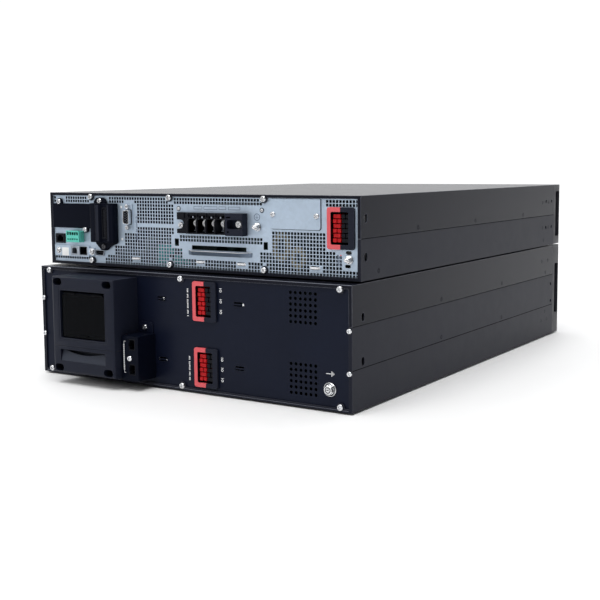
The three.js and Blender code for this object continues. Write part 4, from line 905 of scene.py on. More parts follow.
# ------------------------------------------------------------ battery connectors
def two_pole(tag, cad, x0, x1, z0, z1, face, body):
    """Housing in a red and a black half; ribbed contacts behind the mouth."""
    xm = (x0 + x1) / 2
    for half, a, b, m, deep in (("red", xm + 0.15, x1, "red", "deep_red"), ("black", x0, xm - 0.15, "char", "black")):
        q = Part()
        out = [pt for pt in rrect(x0, x1, z0, z1, 2.6, 6)]
        out = [(min(max(px, a), b), pz) for px, pz in out]
        inn = rrect(x0 + 6.6, x1 - 4.4, z0 + 4.8, z1 - 4.8, 1.6, 5)
        inn = [(min(max(px, a), b), pz) for px, pz in inn]
        # C-shaped outline: outer loop on this half, joined along the split
        def loop(pts, keep):
            s = [p_ for p_ in pts if (p_[0] > a + 1e-6 if keep == "red" else p_[0] < b - 1e-6)]
            return s
        edge_x = a if half == "red" else b
        oz = sorted(loop(out, half), key=lambda p_: math.atan2(p_[1] - (z0 + z1) / 2, (p_[0] - edge_x) * (1 if half == "red" else -1)))
        iz = sorted(loop(inn, half), key=lambda p_: math.atan2(p_[1] - (z0 + z1) / 2, (p_[0] - edge_x) * (1 if half == "red" else -1)))
        poly = [(edge_x, z0)] + oz + [(edge_x, z1)] + [(edge_x, z1 - 4.8)] + iz[::-1] + [(edge_x, z0 + 4.8)]
        q.prism(poly, "y", face + 2.0, face + 3.1)
        # inner sleeve
        # poles share the same mouth, so the sleeve keeps that inner line
        sl = [(edge_x, z0 + 3.2)] + [(min(max(x_, x0 + 3.4), x1 - 3.4), min(max(z_, z0 + 3.2), z1 - 3.2)) for x_, z_ in oz] + [(edge_x, z1 - 3.2)]
        sl2 = sl + [(edge_x, z1 - 4.8)] + iz[::-1] + [(edge_x, z0 + 4.8)]
        # sleeve, lip and floor take the seam-shadow black: painted shade inside the mouth
        q.prism(sl2, "y", face - 20, face + 0.4, 2)
        rim = [(edge_x, z0)] + oz + [(edge_x, z1), (edge_x, z1 - 4.8)] + iz[::-1] + [(edge_x, z0 + 4.8)]
        q.prism(rim, "y", face + 0.3, face + 2.05, 0)
        lip = [(edge_x, z0 + 4.3)] + [(p_[0] + (0.5 if half == "red" else -0.5) * (abs(p_[0] - edge_x) > 3), p_[1] + (0.5 if p_[1] > (z0 + z1) / 2 else -0.5)) for p_ in iz] + [(edge_x, z1 - 4.3), (edge_x, z1 - 4.75)] + [(p_[0], p_[1]) for p_ in iz[::-1]] + [(edge_x, z0 + 4.75)]
        q.prism([(px - (0.04 if half == "red" else -0.04) * (abs(px - edge_x) > 3), pz) for px, pz in lip], "y", face - 1.0, face + 2.6, 2)
        # floor
        fl = [(edge_x, z0 + 4.8)] + iz + [(edge_x, z1 - 4.8)]
        q.prism(fl, "y", face - 20, face - 17.9, 2)
        # shrouded contacts: two columns of six fingers standing up from the floor
        sgn = 1 if half == "red" else -1
        hz = (z1 - z0 - 9.6 - 4.0) / 6.0
        for col in range(2):
            xa = edge_x + sgn * (0.45 + 4.65 * col)
            lo_, hi_ = min(xa, xa + sgn * 4.2), max(xa, xa + sgn * 4.2)
            for row in range(6):
                zb = z0 + 4.8 + 2.0 + hz * row
                top = face + (1.5 if (row + col) % 2 else 0.7)
                q.prism(rrect(lo_, hi_, zb + 0.45, zb + hz - 0.45, 0.5, 2), "y", face - 18, top, 1)
            q.box(lo_ + 0.7, hi_ - 0.7, face - 18, face - 7.0, z0 + 6.6, z1 - 6.6, 1)
        q.obj(f"{tag}_{half}_housing", [m, deep, "seam"], body, [f"{cad}_{half}"], bevel=0.35, seg=3)
two_pole("ups_lead_port", "ups_battery_port", -211.6, -179.6, 165.6, 208.6, UP1, "ups_module")
two_pole("lead_port_a", "battery_port_a", -48.5, -16.5, 81.8, 125.6, BP1, "battery_module")
two_pole("lead_port_b", "battery_port_b", -49.5, -17.5, 8.4, 52.3, BP1, "battery_module")

# -------------------------------------------------- battery module: rear panel
A_PORT = (-48.5, -16.5, 81.8, 125.6)
B_PORT = (-49.5, -17.5, 8.4, 52.3)
vents = []
for zc in (105.5, 30.9):
    for i in range(6):
        for k in range(6):
            vents.append(ring(-174.7 + 6.1 * i, zc - 15.25 + 6.1 * k, 1.9, 12))
BATT_BRIDGES = [(-77.0, 103.6), (-77.8, 34.0), (29.9, 103.2), (29.3, 34.2)]
holes = vents + [rect(87.6, 141.4, 62, 102), rect(45, 55.5, 17, 60)]
holes += [rect(p[0] + 2.6, p[1] - 2.6, p[2] + 2.6, p[3] - 2.6) for p in (A_PORT, B_PORT)]
holes += [rrect(x - 6.2, x + 6.2, z - 2.3, z + 2.3, 1.6, 4) for x, z in BATT_BRIDGES]
p = Part()
p.plate(rect(-217.2, 217.2, 3.8, 130.2), holes, "y", BP1 - 0.5, BP1)
p.box(-217.2, 217.2, BP1 - 10, BP1 - 0.55, 3.8, 5.0)
p.obj("battery_rear_panel_skin", "panel", "battery_module", ["batt_rear_panel"])
p = Part()
for x, z in BATT_BRIDGES:
    path = [(x - 6.6, BP1 + 0.1), (x - 5.0, BP1 + 0.3), (x - 3.8, BP1 + 1.3), (x + 3.8, BP1 + 1.3), (x + 5.0, BP1 + 0.3), (x + 6.6, BP1 + 0.1)]
    p.prism(thick(path, 0.6), "z", z - 0.8, z + 0.8)
p.obj("battery_panel_bridges", "panel", "battery_module", bevel=0.2)
p = Part()
for x, z, r in ((46.2, 68.8, 0.9), (24.2, 34.0, 1.0), (34.8, 34.2, 1.1), (27.0, 103.2, 1.5), (-83.6, 103.4, 1.4), (-80.6, 33.8, 0.9)):
    p.lathe("y", x, z, [(BP1 - 0.2, 0), (BP1 - 0.2, r), (BP1 + 0.2, r), (BP1 + 0.55, r * 0.55), (BP1 + 0.6, 0)], 16)
p.obj("battery_panel_rivets", "nickel", "battery_module")

p = Part()
for i, x in enumerate((-205.0, 0.8, 205.0)):
    for k, z in enumerate((7.0, 127.4)):
        screw(p, x, 287.6, z, 3.5, 1.8, 0.4 + 0.8 * i + 0.5 * k)
p.obj("battery_panel_screw_heads", "nickel", "battery_module", ["batt_panel_screws_top", "batt_panel_screws_bottom"])

# ground bolt: serrated flange, hex, thread end
p = Part()
x, z, n = -192.4, 23.9, 32
w = [(x + (7.5 if i % 2 else 7.0) * math.cos(math.pi * i / n), z + (7.5 if i % 2 else 7.0) * math.sin(math.pi * i / n)) for i in range(2 * n)]
p.plate(w, [ring(x, z, 2.6, 20)], "y", BY, BY + 1.2)
p.lathe("y", x, z, [(BY + 1.2, 2.6), (BY + 1.2, 6.9), (BY + 2.0, 6.3), (BY + 2.0, 2.6)], 32)
p.lathe("y", x, z, [(BY + 2.0, 2.4), (BY + 2.0, 5.4), (BY + 5.0, 5.4), (BY + 5.5, 4.8), (BY + 5.5, 2.4)], 6, turn=0.3)
prof, h = [(272.0, 0)], 272.0
while h < BY + 5.4:
    prof += [(h, 2.25), (h + 0.45, 2.6)]
    h += 0.9
prof += [(BY + 5.6, 2.0), (BY + 5.6, 0)]
p.lathe("y", x, z, prof, 18)
p.plate(ring(x, z, 6.4, 32), [ring(x, z, 5.5, 32)], "y", BY + 1.9, BY + 2.12, 1)
p.plate(ring(x, z, 3.3, 24), [ring(x, z, 2.5, 24)], "y", BY + 5.4, BY + 5.6, 1)
p.box(x - 1.7, x + 1.7, BY + 5.55, BY + 5.68, z - 0.35, z + 0.35, 1)
p.obj("battery_ground_hardware", ["nickel", "seam"], "battery_module", ["batt_ground_bolt"])

# printed marks: earth sign, bars beside the connectors
p = Part()
for w_, xx in ((5.4, -193.9), (3.4, -195.2), (1.6, -196.5)):
    p.box(xx - 0.35, xx + 0.35, BP1, BP1 + 0.06, 39.9 - w_ / 2, 39.9 + w_ / 2)
p.box(-193.9, -187.2, BP1, BP1 + 0.06, 39.55, 40.25)
def tick_column(x, z0, z1, w, seed, y, gap=0.55):
    """Short bars of uneven length in a column: a stand-in for small print."""
    zz, k = z0, seed
    while zz < z1 - 0.8:
        k = (k * 7 + 3) % 11
        hgt = 0.7 + 0.16 * (k % 4)
        p.box(x - w / 2 + 0.1 * (k % 3), x + w / 2 - 0.12 * (k % 4), y, y + 0.06, zz, min(z1, zz + hgt))
        zz += hgt + gap + (1.5 if k in (2, 9) else 0)
tick_column(-7.6, 86.0, 118.0, 2.1, 4, BP1)
tick_column(-8.6, 14.0, 44.0, 2.1, 7, BP1)
for zz in (116.6, 104.6, 93.0):
    p.plate(ring(-53.4, zz, 1.5, 14), [ring(-53.4, zz, 0.9, 14)], "y", BP1, BP1 + 0.06)
    p.box(-54.9, -51.9, BP1, BP1 + 0.06, zz + 2.2, zz + 2.8)
for zz in (40.6, 29.4, 18.0):
    p.plate(ring(-54.2, zz, 1.5, 14), [ring(-54.2, zz, 0.9, 14)], "y", BP1, BP1 + 0.06)
    p.box(-55.7, -52.7, BP1, BP1 + 0.06, zz + 2.2, zz + 2.8)
# small tick marks along the red edge of each connector
for zz in (113, 102, 88):
    p.box(-15.9, -14.9, BP1, BP1 + 0.06, zz, zz + 3.4)
for zz in (41, 30, 16):
    p.box(-16.9, -15.9, BP1, BP1 + 0.06, zz, zz + 3.2)
p.obj("battery_panel_print", "white", "battery_module")

# -------------------------------------------------------- breaker enclosure
def enclosure():
    x0, x1, z0, z1, y0, y1 = 66.0, 163.0, 13.5, 125.5, BY, ENC_Y
    def soft(a0, a1, b0, c):
        return [(a0, b0), (a1, b0), (a1, y1 - c), (a1 - c * 0.30, y1 - c * 0.30), (a1 - c, y1), (a0 + c, y1), (a0 + c * 0.30, y1 - c * 0.30), (a0, y1 - c)]
    q = Part()
    q.prism(soft(x0, x1, y0, 3.0), "z", z0, z1)
    o = q.obj("enclosure_moulding", "char", None)
    q = Part()
    q.prism([(b, a) for a, b in soft(z0, z1, y0 - 1, 3.0)], "x", x0 - 1, x1 + 1)
    cut(o, q.obj("tmp_a", "char", None), "INTERSECT")
    q = Part()
    # window opening, with a stepped frame
    q.prism(rrect(80.0, 149.5, 54.7, 110.0, 1.6, 4), "y", y0 - 1, y1 + 1)
    cut(o, q.obj("tmp_b", "char", None))
    q = Part()
    q.box(71, 158, y0 - 1, 290.5, 51, 113)
    q.box(x0 + 2.5, x1 - 2.5, y0 - 1, y1 - 17, 17.1, 45.0)
    cut(o, q.obj("tmp_c", "char", None))
    q = Part()
    q.prism(rrect(80.6, 151.0, 27.3, 41.2, 0.6, 2), "y", y1 - 11.5, y1 + 1)
    cut(o, q.obj("tmp_d", "char", None))
    for x in (76.5, 153.5):
        for z in (19.4, 119.6):
            q = Part()
            q.prism(rrect(x - 7.0, x + 7.0, z - 4.2, z + 4.2, 4.0, 7), "y", y1 - 13, y1 + 1)
            cut(o, q.obj("tmp_e", "char", None))
    # parting line across the face and round the sides
    q = Part()
    q.box(x0 - 1, x1 + 1, y1 - 0.55, y1 + 1, 45.0, 45.7)
    q.box(x1 - 0.5, x1 + 1, y0 + 6, y1 + 1, 45.0, 45.7)
    q.box(x0 - 1, x0 + 0.5, y0 + 6, y1 + 1, 45.0, 45.7)
    cut(o, q.obj("tmp_f", "char", None))
    # shallow rebate round the window
    q = Part()
    q.plate(rrect(77.4, 152.1, 52.2, 112.6, 2.6, 5), [rrect(79.0, 150.5, 53.8, 111.0, 1.8, 5)], "y", y1 - 0.35, y1 + 1)
    cut(o, q.obj("tmp_g", "char", None))
    edge(o, 0.55, 3, 30)
    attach(o, "battery_module")
    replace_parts(o, "breaker_enclosure")
    q = Part()
    for k, x in enumerate((76.5, 153.5)):
        for i, z in enumerate((19.4, 119.6)):
            q.cyl("y", x, z, y1 - 13.0, y1 - 11.0, 3.9, 20, 1)
            screw(q, x, y1 - 11.0, z, 3.3, 1.6, 0.3 + 0.7 * i + 0.4 * k)
    q.obj("enclosure_screws", ["screw_dark", "black"], "battery_module")
    # curved floor that closes the finger recess, in a lighter charcoal than the moulding: painted light on its
    # upward-facing slope
    q = Part()
    prof = [(y1 - 11.4, 27.4), (y1 - 0.7, 27.4)] + [(y1 - 0.7 - 4.2 * t ** 1.1, 27.6 + 13.5 * t) for t in np.linspace(0, 1, 9)] + [(y1 - 11.4, 41.1)]
    q.prism(prof, "x", 80.7, 150.9)
    o = q.obj("finger_recess_floor", "pad", None)
    q = Part()
    dip = [(151.6, 42.5), (80.0, 42.5)]
    dip += [(80.0 + 71.6 * t, 41.3 - 5.6 * math.sin(math.pi * t) ** 0.9) for t in np.linspace(0, 1, 25)]
    q.prism(dip, "y", y1 - 10.6, y1 + 1)
    cut(o, q.obj("tmp_h", "char", None))
    edge(o, 0.2, 2, 30)
    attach(o, "battery_module")
enclosure()

def door():
    y, z = 322.2, 107.0
    q = Part()
    q.plate(rrect(80.9, 148.7, 55.9, 104.6, 1.4, 4), [], "y", y - 1.1, y + 1.2)
    q.plate([(84.4, 104.5), (145.1, 104.5), (145.1, 107), (84.4, 107)], [], "y", y - 1.1, y + 1.2)
    # thumb tab
    q.prism([(y + 1.1, 57.2), (y + 2.6, 57.5), (y + 2.6, 58.7), (y + 1.9, 59.4), (y + 1.1, 59.4)], "x", 108, 121.5)
    o = q.obj("door_leaf", "window", "breaker_door", ["breaker_door"], bevel=0.35, seg=3)
    q = Part()
    for a, b in ((84.4, 102.0), (127.4, 145.1)):
        q.lathe("x", y, z, [(a, 1.05), (a, 2.1), (b, 2.1), (b, 1.05)], 24)
    q.plate([(81.4, 105.4), (148.2, 105.4), (148.2, 104.8), (81.4, 104.8)], [], "y", y + 0.9, y + 1.25)
    q.obj("door_knuckles", "window", "breaker_door", bevel=0.2)
    # moulded frame line inside the door
    q = Part()
    q.plate(rrect(82.0, 147.6, 57.0, 103.6, 1.2, 4), [rrect(84.0, 145.6, 59.0, 101.6, 1.0, 4)], "y", y - 1.75, y - 1.05)
    q.obj("door_frame_line", "black", "breaker_door", bevel=0.15)
door()

# ------------------------------------------------------------------- port box
def ports():
    x0, x1, z0, z1, y0, y1 = 40.5, 64.5, 11.5, 62.5, BY, 315.5
    wins = [rect(44.6, 54.9, 45.9, 59.8), rect(44.6, 54.9, 17.8, 31.4)]
    q = Part()
    q.plate(rrect(x0, x1, z0, z1, 1.0, 4), wins + [ring(53.4, 37.6, 1.3, 12)], "y", y1 - 1.5, y1)
    q.plate(rrect(x0, x1, z0, z1, 1.0, 4), [rect(x0 + 1.6, x1 - 1.6, z0 + 1.6, z1 - 1.6)], "y", y0, y1 - 1.4)
    q.obj("port_box_shell", "cover", "battery_module", ["port_box"], bevel=0.35, seg=3, angle=40)
    q = Part()
    fl = [(43.0, 61.6)] + [(43.0, 73.4), (44.4, 75.4), (59.8, 75.4), (61.0, 73.4), (61.0, 61.6)]
    q.plate(fl, [], "y", y0, y0 + 1.5)
    q.plate([(44.6, 74.0), (45.0, 71.2), (47.2, 71.2), (47.2, 74.0)], [], "y", y0 + 1.45, y0 + 1.7)
    q.obj("port_box_flange", "panel", "battery_module", bevel=0.3)
    q = Part()
    screw(q, 54.0, y0 + 1.5, 69.0, 3.3, 1.8, 0.9)
    screw(q, 52.6, y1 - 0.05, 37.4, 3.2, 1.7, 0.5)
    q.obj("port_box_screws", "nickel", "battery_module")
    q = Part()
    for a, b in ((45.9, 59.8), (17.8, 31.4)):
        q.plate(rect(44.75, 54.75, a + 0.15, b - 0.15), [[(46.1, a + 1.5), (53.4, a + 1.5), (53.4, a + 4.6), (54.2, a + 4.6), (54.2, b - 4.6), (53.4, b - 4.6), (53.4, b - 1.5), (46.1, b - 1.5)]], "y", y1 - 15, y1 - 0.4)
        q.box(44.75, 54.75, y1 - 16, y1 - 14.6, a + 0.15, b - 0.15)
        for k in range(8):
            zc = a + 2.5 + k * (b - a - 5.0) / 7
            q.prism(thick([(y1 - 14.4, 46.5), (y1 - 3.0, 46.6), (y1 - 10.6, 49.6)], 0.3), "z", zc - 0.25, zc + 0.25, 1)
            v0 = len(q.v) - 12
            q.v[v0:] = [(b_, a_, c_) for a_, b_, c_ in q.v[v0:]]
        # sprung shield seen round the lip of the jack
        q.plate(rect(44.6, 54.9, a, b), [rect(45.2, 54.3, a + 0.6, b - 0.6)], "y", y1 - 0.35, y1 - 0.1, 2)
    q.obj("port_jack_bodies", ["black", "gold", "cover"], "battery_module", ["port_jacks"])
    q = Part()
    q.box(60.9, 61.4, y1, y1 + 0.06, 20.6, 56.6)
    q.box(58.9, 61.4, y1, y1 + 0.06, 56.1, 56.6)
    q.box(58.9, 61.4, y1, y1 + 0.06, 20.6, 21.1)
    k, zz = 5, 24.0
    while zz < 52:
        k = (k * 7 + 3) % 11
        q.box(60.2 + 0.1 * (k % 3), 62.4 - 0.1 * (k % 4), y1, y1 + 0.06, zz, zz + 0.9 + 0.2 * (k % 3))
        zz += 1.9 + 0.2 * (k % 3) + (1.6 if k == 9 else 0)
    q.obj("port_box_print", "white", "battery_module")
ports()

# -------------------------------------------------------------- front bezels
def bezel(name, cad, body, z0, z1, grip, slots, dial=False):
    y1, c = -298.8, 3.5
    q = Part()
    lou = []
    for xa, xb, za, zb in slots:
        n = max(2, int(round(abs(xb - xa) / 30.0)))
        w = (xb - xa) / n
        for i in range(n):
            lou.append(rrect(xa + w * i + 1.3, xa + w * (i + 1) - 1.3, za, zb, 1.9, 4))
    face_holes = list(lou)
    if dial:
        face_holes += [ring(0, 177.25, 34.7, 72), ring(66, 177.25, 6.45, 32)]
    q.plate(rect(-219 + c, 219 - c, z0 + 1.6, z1 - 1.6), face_holes, "y", BEZ, BEZ + 3.0)
    # rounded border swept round the face
    prof = [(c, 0.0), (c * 0.62, 0.12), (c * 0.25, 0.9), (0.0, c), (0.0, y1 - BEZ), (2.2, y1 - BEZ), (2.4, 3.0), (c, 3.0)]
    for s in (1, -1):
        q.prism([(s * (219 - a), BEZ + b) for a, b in prof], "z", z0 + 0.02, z1 - 0.02)
    for zz, s in ((z0, 1), (z1, -1)):
        pr = [(1.6, 0.0), (0.7, 0.2), (0.0, 1.4), (0.0, y1 - BEZ), (2.2, y1 - BEZ), (2.2, 3.0), (1.6, 3.0)]
        q.prism([(BEZ + b, zz + s * a) for a, b in pr], "x", -219 + c, 219 - c)
    o = q.obj(name, "bezel", None)
    # grip pockets through the side walls
    g = Part()
    for s in (1, -1):
        a, b = sorted((s * (219 - 13.6), s * 220.5))
        g.prism(rrect(BEZ + 3.4, BEZ + 19, grip[0], grip[1], 3.0, 5), "x", a, b)
    cut(o, g.obj("tmp_grip", "bezel", None))
    edge(o, 0.3, 2, 34)
    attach(o, body)
    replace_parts(o, cad)
    g = Part()
    for s in (1, -1):
        a, b = sorted((s * (219 - 13.9), s * (219 - 12.4)))
        g.box(a, b, BEZ + 3.1, BEZ + 20.4, grip[0] - 1.5, grip[1] + 1.5)
        for yy in (BEZ + 3.0, BEZ + 19.2):
            a, b = sorted((s * (219 - 13.6), s * (219 - 2.3)))
            g.box(a, b, yy, yy + 1.3, grip[0] - 1.5, grip[1] + 1.5)
        for zz in (grip[0] - 1.6, grip[1] + 0.3):
            g.box(a, b, BEZ + 3.1, BEZ + 20.4, zz, zz + 1.3)
        # grip ribs
        for k in range(int((grip[1] - grip[0]) // 8)):
            a2, b2 = sorted((s * (219 - 12.5), s * (219 - 11.2)))
            g.box(a2, b2, BEZ + 5, BEZ + 18, grip[0] + 5 + 8 * k, grip[0] + 6.6 + 8 * k)
    g.obj(name + "_grips", "bezel", body, bevel=0.25)
    # foam filter behind the louvres, held by a thin frame
    f = Part()
    if slots:
        for side in (1, -1):
            xs = [v for s_ in slots for v in s_[:2] if v * side > 0]
            xa, xb = min(xs) - 4, max(xs) + 4
            za, zb = min(s_[2] for s_ in slots) - 4, max(s_[3] for s_ in slots) + 4
            n, m = 40, 22
            f.box(xa, xb, BEZ + 8.0, BEZ + 11.0, za, zb)
            f.plate(rect(xa - 1.4, xb + 1.4, za - 1.4, zb + 1.4), [rect(xa + 1.6, xb - 1.6, za + 1.6, zb - 1.6)], "y", BEZ + 7.0, BEZ + 8.0, 1)
        f.obj(name + "_filters", ["foil", "bezel"], body, bevel=0.2)
    return o

bslots = []
for zz in (34, 46, 58, 70, 82, 94):
    bslots += [(-190, -30, zz, zz + 5), (30, 190, zz, zz + 5)]
bezel("battery_bezel_moulding", "batt_front_bezel", "battery_bezel", 2.0, 132.0, [31, 105], bslots)
uslots = []
for zz in (152, 162, 172, 182, 192, 202):
    uslots += [(-190, -62, zz, zz + 4.5), (94, 190, zz, zz + 4.5)]
bezel("power_bezel_moulding", "ups_front_bezel", "ups_bezel", 134.0, 220.5, [145, 211], uslots, True)

def display():
    z = 177.25
    q = Part()
    q.lathe("y", 0, z, [(BEZ + 2.6, 37.3), (BEZ + 2.6, 39.8), (BEZ + 13.8, 39.8), (BEZ + 13.8, 33.6), (BEZ + 12.6, 33.6), (BEZ + 12.6, 37.3)], 72)
    q.lathe("y", 66, z, [(BEZ + 2.6, 6.5), (BEZ + 2.6, 8.2), (BEZ + 11.5, 8.2), (BEZ + 11.5, 0), ], 40)
    q.f = q.f
    q.obj("display_collar", "bezel", "ups_bezel")
    q = Part()
    q.lathe("y", 0, z, [(BEZ + 10.2, 0), (BEZ + 10.2, 36.2), (BEZ + 7.4, 36.2), (BEZ + 7.4, 33.9), (BEZ + 1.4, 33.9), (BEZ + 0.7, 33.5), (BEZ + 0.35, 32.6), (BEZ + 0.35, 31.2), (BEZ + 0.8, 30.6), (BEZ + 0.8, 0)], 96)
    o = q.obj("dial_moulding", "black", None)
    c = Part()
    c.prism(rrect(-23, 23, z - 12, z + 18, 1.4, 5), "y", BEZ - 1, BEZ + 2.6)
    for x in (-14, 0, 14):
        c.cyl("y", x, z - 21, BEZ - 1, BEZ + 7, 3.7, 32)
    cut(o, c.obj("tmp_dial", "black", None))
    edge(o, 0.25, 2, 34)
    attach(o, "display")
    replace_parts(o, "display_dial")
    q = Part()
    q.plate(rrect(-22.7, 22.7, z - 11.7, z + 17.7, 1.2, 5), [], "y", BEZ + 0.9, BEZ + 2.3)
    q.obj("screen_glass", "screen", "display", ["display_screen"], bevel=0.25)
    q = Part()   # bars and blocks that stand for a status page
    for i, hgt in enumerate((3, 5, 7, 9, 11)):
        q.box(-18 + 4.2 * i, -15.4 + 4.2 * i, BEZ + 0.84, BEZ + 0.9, z - 6, z - 6 + hgt)
    for i in range(3):
        q.plate(rrect(6, 18, z - 6 + 5.6 * i, z - 2.4 + 5.6 * i, 0.8, 3), [rrect(6.5, 17.5, z - 5.5 + 5.6 * i, z - 2.9 + 5.6 * i, 0.5, 3)], "y", BEZ + 0.84, BEZ + 0.9)
        q.box(7, 9.5 + 3.2 * i, BEZ + 0.84, BEZ + 0.9, z - 5.1 + 5.6 * i, z - 3.3 + 5.6 * i)
    q.box(-18, 18, BEZ + 0.84, BEZ + 0.9, z + 12.4, z + 12.9)
    q.obj("screen_marks", "lcd", "display")
    for i, x in enumerate((-14, 0, 14)):
        q = Part()
        q.lathe("y", x, z - 21, [(BEZ + 5.1, 0), (BEZ + 5.1, 3.3), (BEZ + 0.8, 3.3), (BEZ + 0.35, 2.9), (BEZ + 0.3, 1.2), (BEZ + 0.45, 0)], 32)
        q.obj(f"nav_cap_{i + 1}", "button", f"nav_button_{i + 1}", [f"nav_button_{i + 1}"])
    q = Part()
    q.lathe("y", 66, z, [(BEZ + 7.5, 0), (BEZ + 7.5, 5.9), (BEZ + 0.9, 5.9), (BEZ + 0.3, 5.2), (BEZ + 0.5, 3.4), (BEZ + 0.9, 0)], 48)
    q.obj("power_cap", "button", "power_button", ["power_button"])
    q = Part()
    arc = [(66 + 2.6 * math.cos(t), z - 0.2 + 2.6 * math.sin(t)) for t in np.linspace(math.radians(60 - 360), math.radians(120) - 2 * math.pi + 2 * math.pi * 0, 2)]
    pts = [(66 + 2.7 * math.cos(t), z - 0.2 + 2.7 * math.sin(t)) for t in np.linspace(math.radians(125), math.radians(415), 26)]
    q.prism(thick(pts, 0.55), "y", BEZ + 0.35, BEZ + 0.72)
    q.box(65.72, 66.28, BEZ + 0.35, BEZ + 0.72, z + 0.2, z + 3.2)
    q.obj("power_mark", "white", "power_button")
display()

# ------------------------------------------------------- small outer hardware
p = Part()
for k, (x, z) in enumerate(((215.9, 93.0), (215.9, 49.3), (-215.9, 85.8), (-215.9, 42.3))):
    screw(p, x, 287.45, z, 2.9, 1.6, 0.4 + 0.7 * k)
p.obj("border_screws", "nickel", "battery_module")

def flush_screws(name, body, places):
    q = Part()
    for s in (1, -1):
        for k, (y, z) in enumerate(places):
            q.lathe("x", y, z, [(s * 218.2, 0), (s * 218.2, 2.6), (s * 219.05, 2.6), (s * 219.12, 2.2), (s * 219.0, 1.1), (s * 218.7, 0.9), (s * 218.7, 0)], 20)
    q.obj(name, "cover", body)
flush_screws("power_side_screws", "ups_module", [(141.5, 182.0), (-15.5, 182.0), (-176.5, 182.0), (232, 142.0), (-258, 142.0)])
flush_screws("battery_side_screws", "battery_module", [(80.5, 95.0), (-103.5, 95.0), (80.5, 50.4), (-103.5, 50.4), (-268, 95.0), (-268, 38.0)])

# rack-ear threads seen near the front on each side
p = Part()
for s in (1, -1):
    for y, z in ((-276, 160), (-276, 196), (-252, 160), (-252, 196)):
        p.lathe("x", y, z, [(s * 218.3, 1.2), (s * 218.3, 2.4), (s * 219.08, 2.4), (s * 219.08, 1.6), (s * 218.9, 1.2)], 20)
p.obj("power_ear_threads", "cover", "ups_module")
p = Part()
for s in (1, -1):
    for y, z in ((-276, 26), (-276, 112), (-252, 26), (-252, 112)):
        p.lathe("x", y, z, [(s * 218.3, 1.2), (s * 218.3, 2.4), (s * 219.08, 2.4), (s * 219.08, 1.6), (s * 218.9, 1.2)], 20)
p.obj("battery_ear_threads", "cover", "battery_module")

# dark strips where the side sheets meet: painted shadow in the seams
for name, body, ends, seams in (("power_seam_gaps", "ups_module", (-297.5, 268.5), (176.95,)), ("battery_seam_gaps", "battery_module", (-297.5, 286.5), (45.25, 89.55))):
    p = Part()
    for z in seams:
        for s in (1, -1):
            p.box(min(s * 218.3, s * 219.03), max(s * 218.3, s * 219.03), ends[0], ends[1], z - 0.42, z + 0.42)
    p.obj(name, "seam", body)

# lighter strips along the battery module's rear edges: painted highlight where the edges catch the light
p = Part()
p.box(-218.4, 218.4, 286.6, 287.56, 131.55, 132.06)
p.box(-214.6, 214.6, 286.9, 287.56, 3.75, 4.12)
p.obj("battery_rear_hems", "hem", "battery_module", bevel=0.1)

# rubber pads under the feet
p = Part()
for x in (-180, 180):
    for y in (-240, 230):
        p.lathe("z", x, y, [(0.0, 0), (0.0, 9.8), (0.5, 10.6), (1.8, 10.6), (1.8, 0)], 32)
p.obj("foot_pads", "black", "battery_module")

# ---------------------------------------- frame pieces kept, with their finish
KEEP = {
    "batt_base_tray": ("steel", 0.45), "batt_middle_frame": ("steel", 0.40), "batt_top_cover": ("lid", 0.45),
    "batt_front_plate": ("steel", 0.3), "battery_tray_left": ("zinc", 0.3), "battery_tray_right": ("zinc", 0.3),
    "battery_pack_left": ("cell", 0.7), "battery_pack_right": ("cell", 0.7), "battery_fuse_board": ("pcb", 0.25),
    "breaker_door_pin": ("cover", 0.1), "breaker_body": ("black", 0.5), "breaker_toggle": ("button", 0.6),
    "ups_base_tray": ("steel", 0.40), "ups_top_cover": ("lid", 0.45), "ups_front_plate": ("steel", 0.3),
    "fan_frame_left": ("black", 0.6), "fan_frame_right": ("black", 0.6), "fan_rotor_left": ("char", 0.3),
    "fan_rotor_right": ("char", 0.3), "power_board": ("pcb", 0.3), "heatsink_left": ("alu", 0.3), "heatsink_right": ("alu", 0.3),
}
for node, (mat, width) in KEEP.items():
    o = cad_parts[node]
    for s_ in o.material_slots:
        s_.link = "OBJECT"
        s_.material = MAT[mat]
    if not o.material_slots:
        o.data.materials.append(MAT[mat])
    w = o.modifiers.new("join_corners", "WELD")
    w.merge_threshold = 0.00002
    edge(o, width, 2, 30)

# -------------------------------------------------------------- floor, camera
floor = Part()
floor.box(-9000, 9000, -9000, 9000, -30, 0)
fo = floor.obj("studio_floor", "label", None)
fo.data.materials.clear()
fo.data.materials.append(shade("floor_paper", (0.88, 0.88, 0.88), 0.62, var=0.012, blotch=1.5, grain=60, bump=0.01))

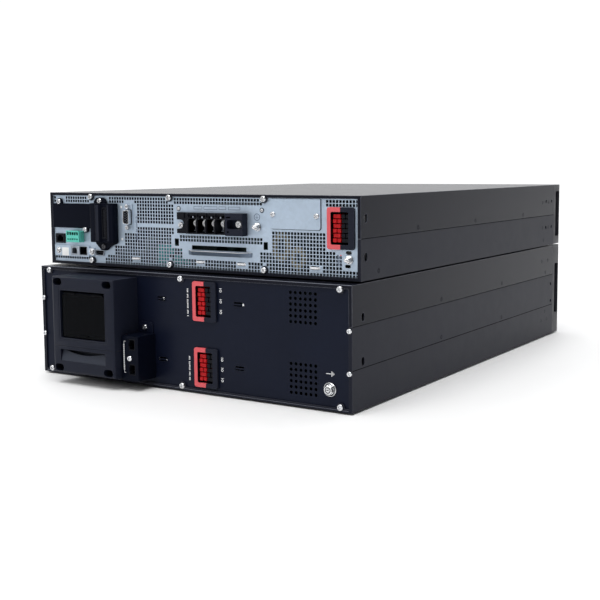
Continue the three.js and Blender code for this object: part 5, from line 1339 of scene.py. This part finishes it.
yaw, pitch, roll = math.radians(32.49), math.radians(-6.052), math.radians(-0.406)
fwd = Vector((math.sin(yaw) * math.cos(pitch), -math.cos(yaw) * math.cos(pitch), math.sin(pitch)))
right = fwd.cross(Vector((0, 0, 1))).normalized()
up = right.cross(fwd)
c, s = math.cos(roll), math.sin(roll)
r2, u2 = c * right + s * up, -s * right + c * up
cam = bpy.data.cameras.new("photo_camera")
cam.lens = 61.884
cam.sensor_width = 36.0
cam.shift_x, cam.shift_y = -0.02, -0.0413
cam.clip_start, cam.clip_end = 0.02, 60
co = bpy.data.objects.new("photo_camera", cam)
bpy.context.scene.collection.objects.link(co)
m = Matrix.Identity(4)
for i in range(3):
    m[i][0], m[i][1], m[i][2] = r2[i], u2[i], -fwd[i]
    m[i][3] = (-0.7318, 1.1665, 0.2505)[i]
co.matrix_world = m
bpy.context.scene.camera = co


def area(name, loc, aim, size, power, colour=(1, 1, 1)):
    d = bpy.data.lights.new(name, "AREA")
    d.shape = "RECTANGLE"
    d.size, d.size_y = size
    d.energy = power
    d.color = colour
    o = bpy.data.objects.new(name, d)
    bpy.context.scene.collection.objects.link(o)
    o.location = loc
    o.rotation_euler = (Vector(aim) - Vector(loc)).to_track_quat("-Z", "Y").to_euler()
    return o


area("key", (0.9, 2.6, 1.5), (0.0, 0.25, 0.15), (1.6, 1.0), 17, (1.0, 0.99, 0.97))
area("fill", (-2.6, 0.4, 1.1), (0.0, -0.1, 0.12), (1.4, 1.2), 1.8, (0.90, 0.95, 1.0))
sun = bpy.data.lights.new("overhead", "SUN")
sun.energy = 2.3
sun.angle = math.radians(50)
so = bpy.data.objects.new("overhead", sun)
bpy.context.scene.collection.objects.link(so)
so.rotation_euler = (Vector((0.12, -0.28, -1.0))).to_track_quat("-Z", "Y").to_euler()

# Studio surround: bright sweep beyond the front of the object, dim room at the connector side.
world = bpy.data.worlds.new("studio")
bpy.context.scene.world = world
world.use_nodes = True
wt = world.node_tree
wn = wt.nodes
tcw = wn.new("ShaderNodeTexCoord")
dotw = wn.new("ShaderNodeVectorMath")
dotw.operation = "DOT_PRODUCT"
dotw.inputs[1].default_value = (0.53, -0.83, 0.18)
wt.links.new(tcw.outputs["Generated"], dotw.inputs[0])
mrw = wn.new("ShaderNodeMapRange")
mrw.interpolation_type = "SMOOTHSTEP"
mrw.inputs["From Min"].default_value = -0.55
mrw.inputs["From Max"].default_value = 0.80
mrw.inputs["To Min"].default_value = 0.16
mrw.inputs["To Max"].default_value = 1.06
wt.links.new(dotw.outputs["Value"], mrw.inputs["Value"])
wn["Background"].inputs["Color"].default_value = (0.985, 0.99, 1.0, 1)
wt.links.new(mrw.outputs["Result"], wn["Background"].inputs["Strength"])
bpy.context.scene.view_settings.view_transform = "Standard"
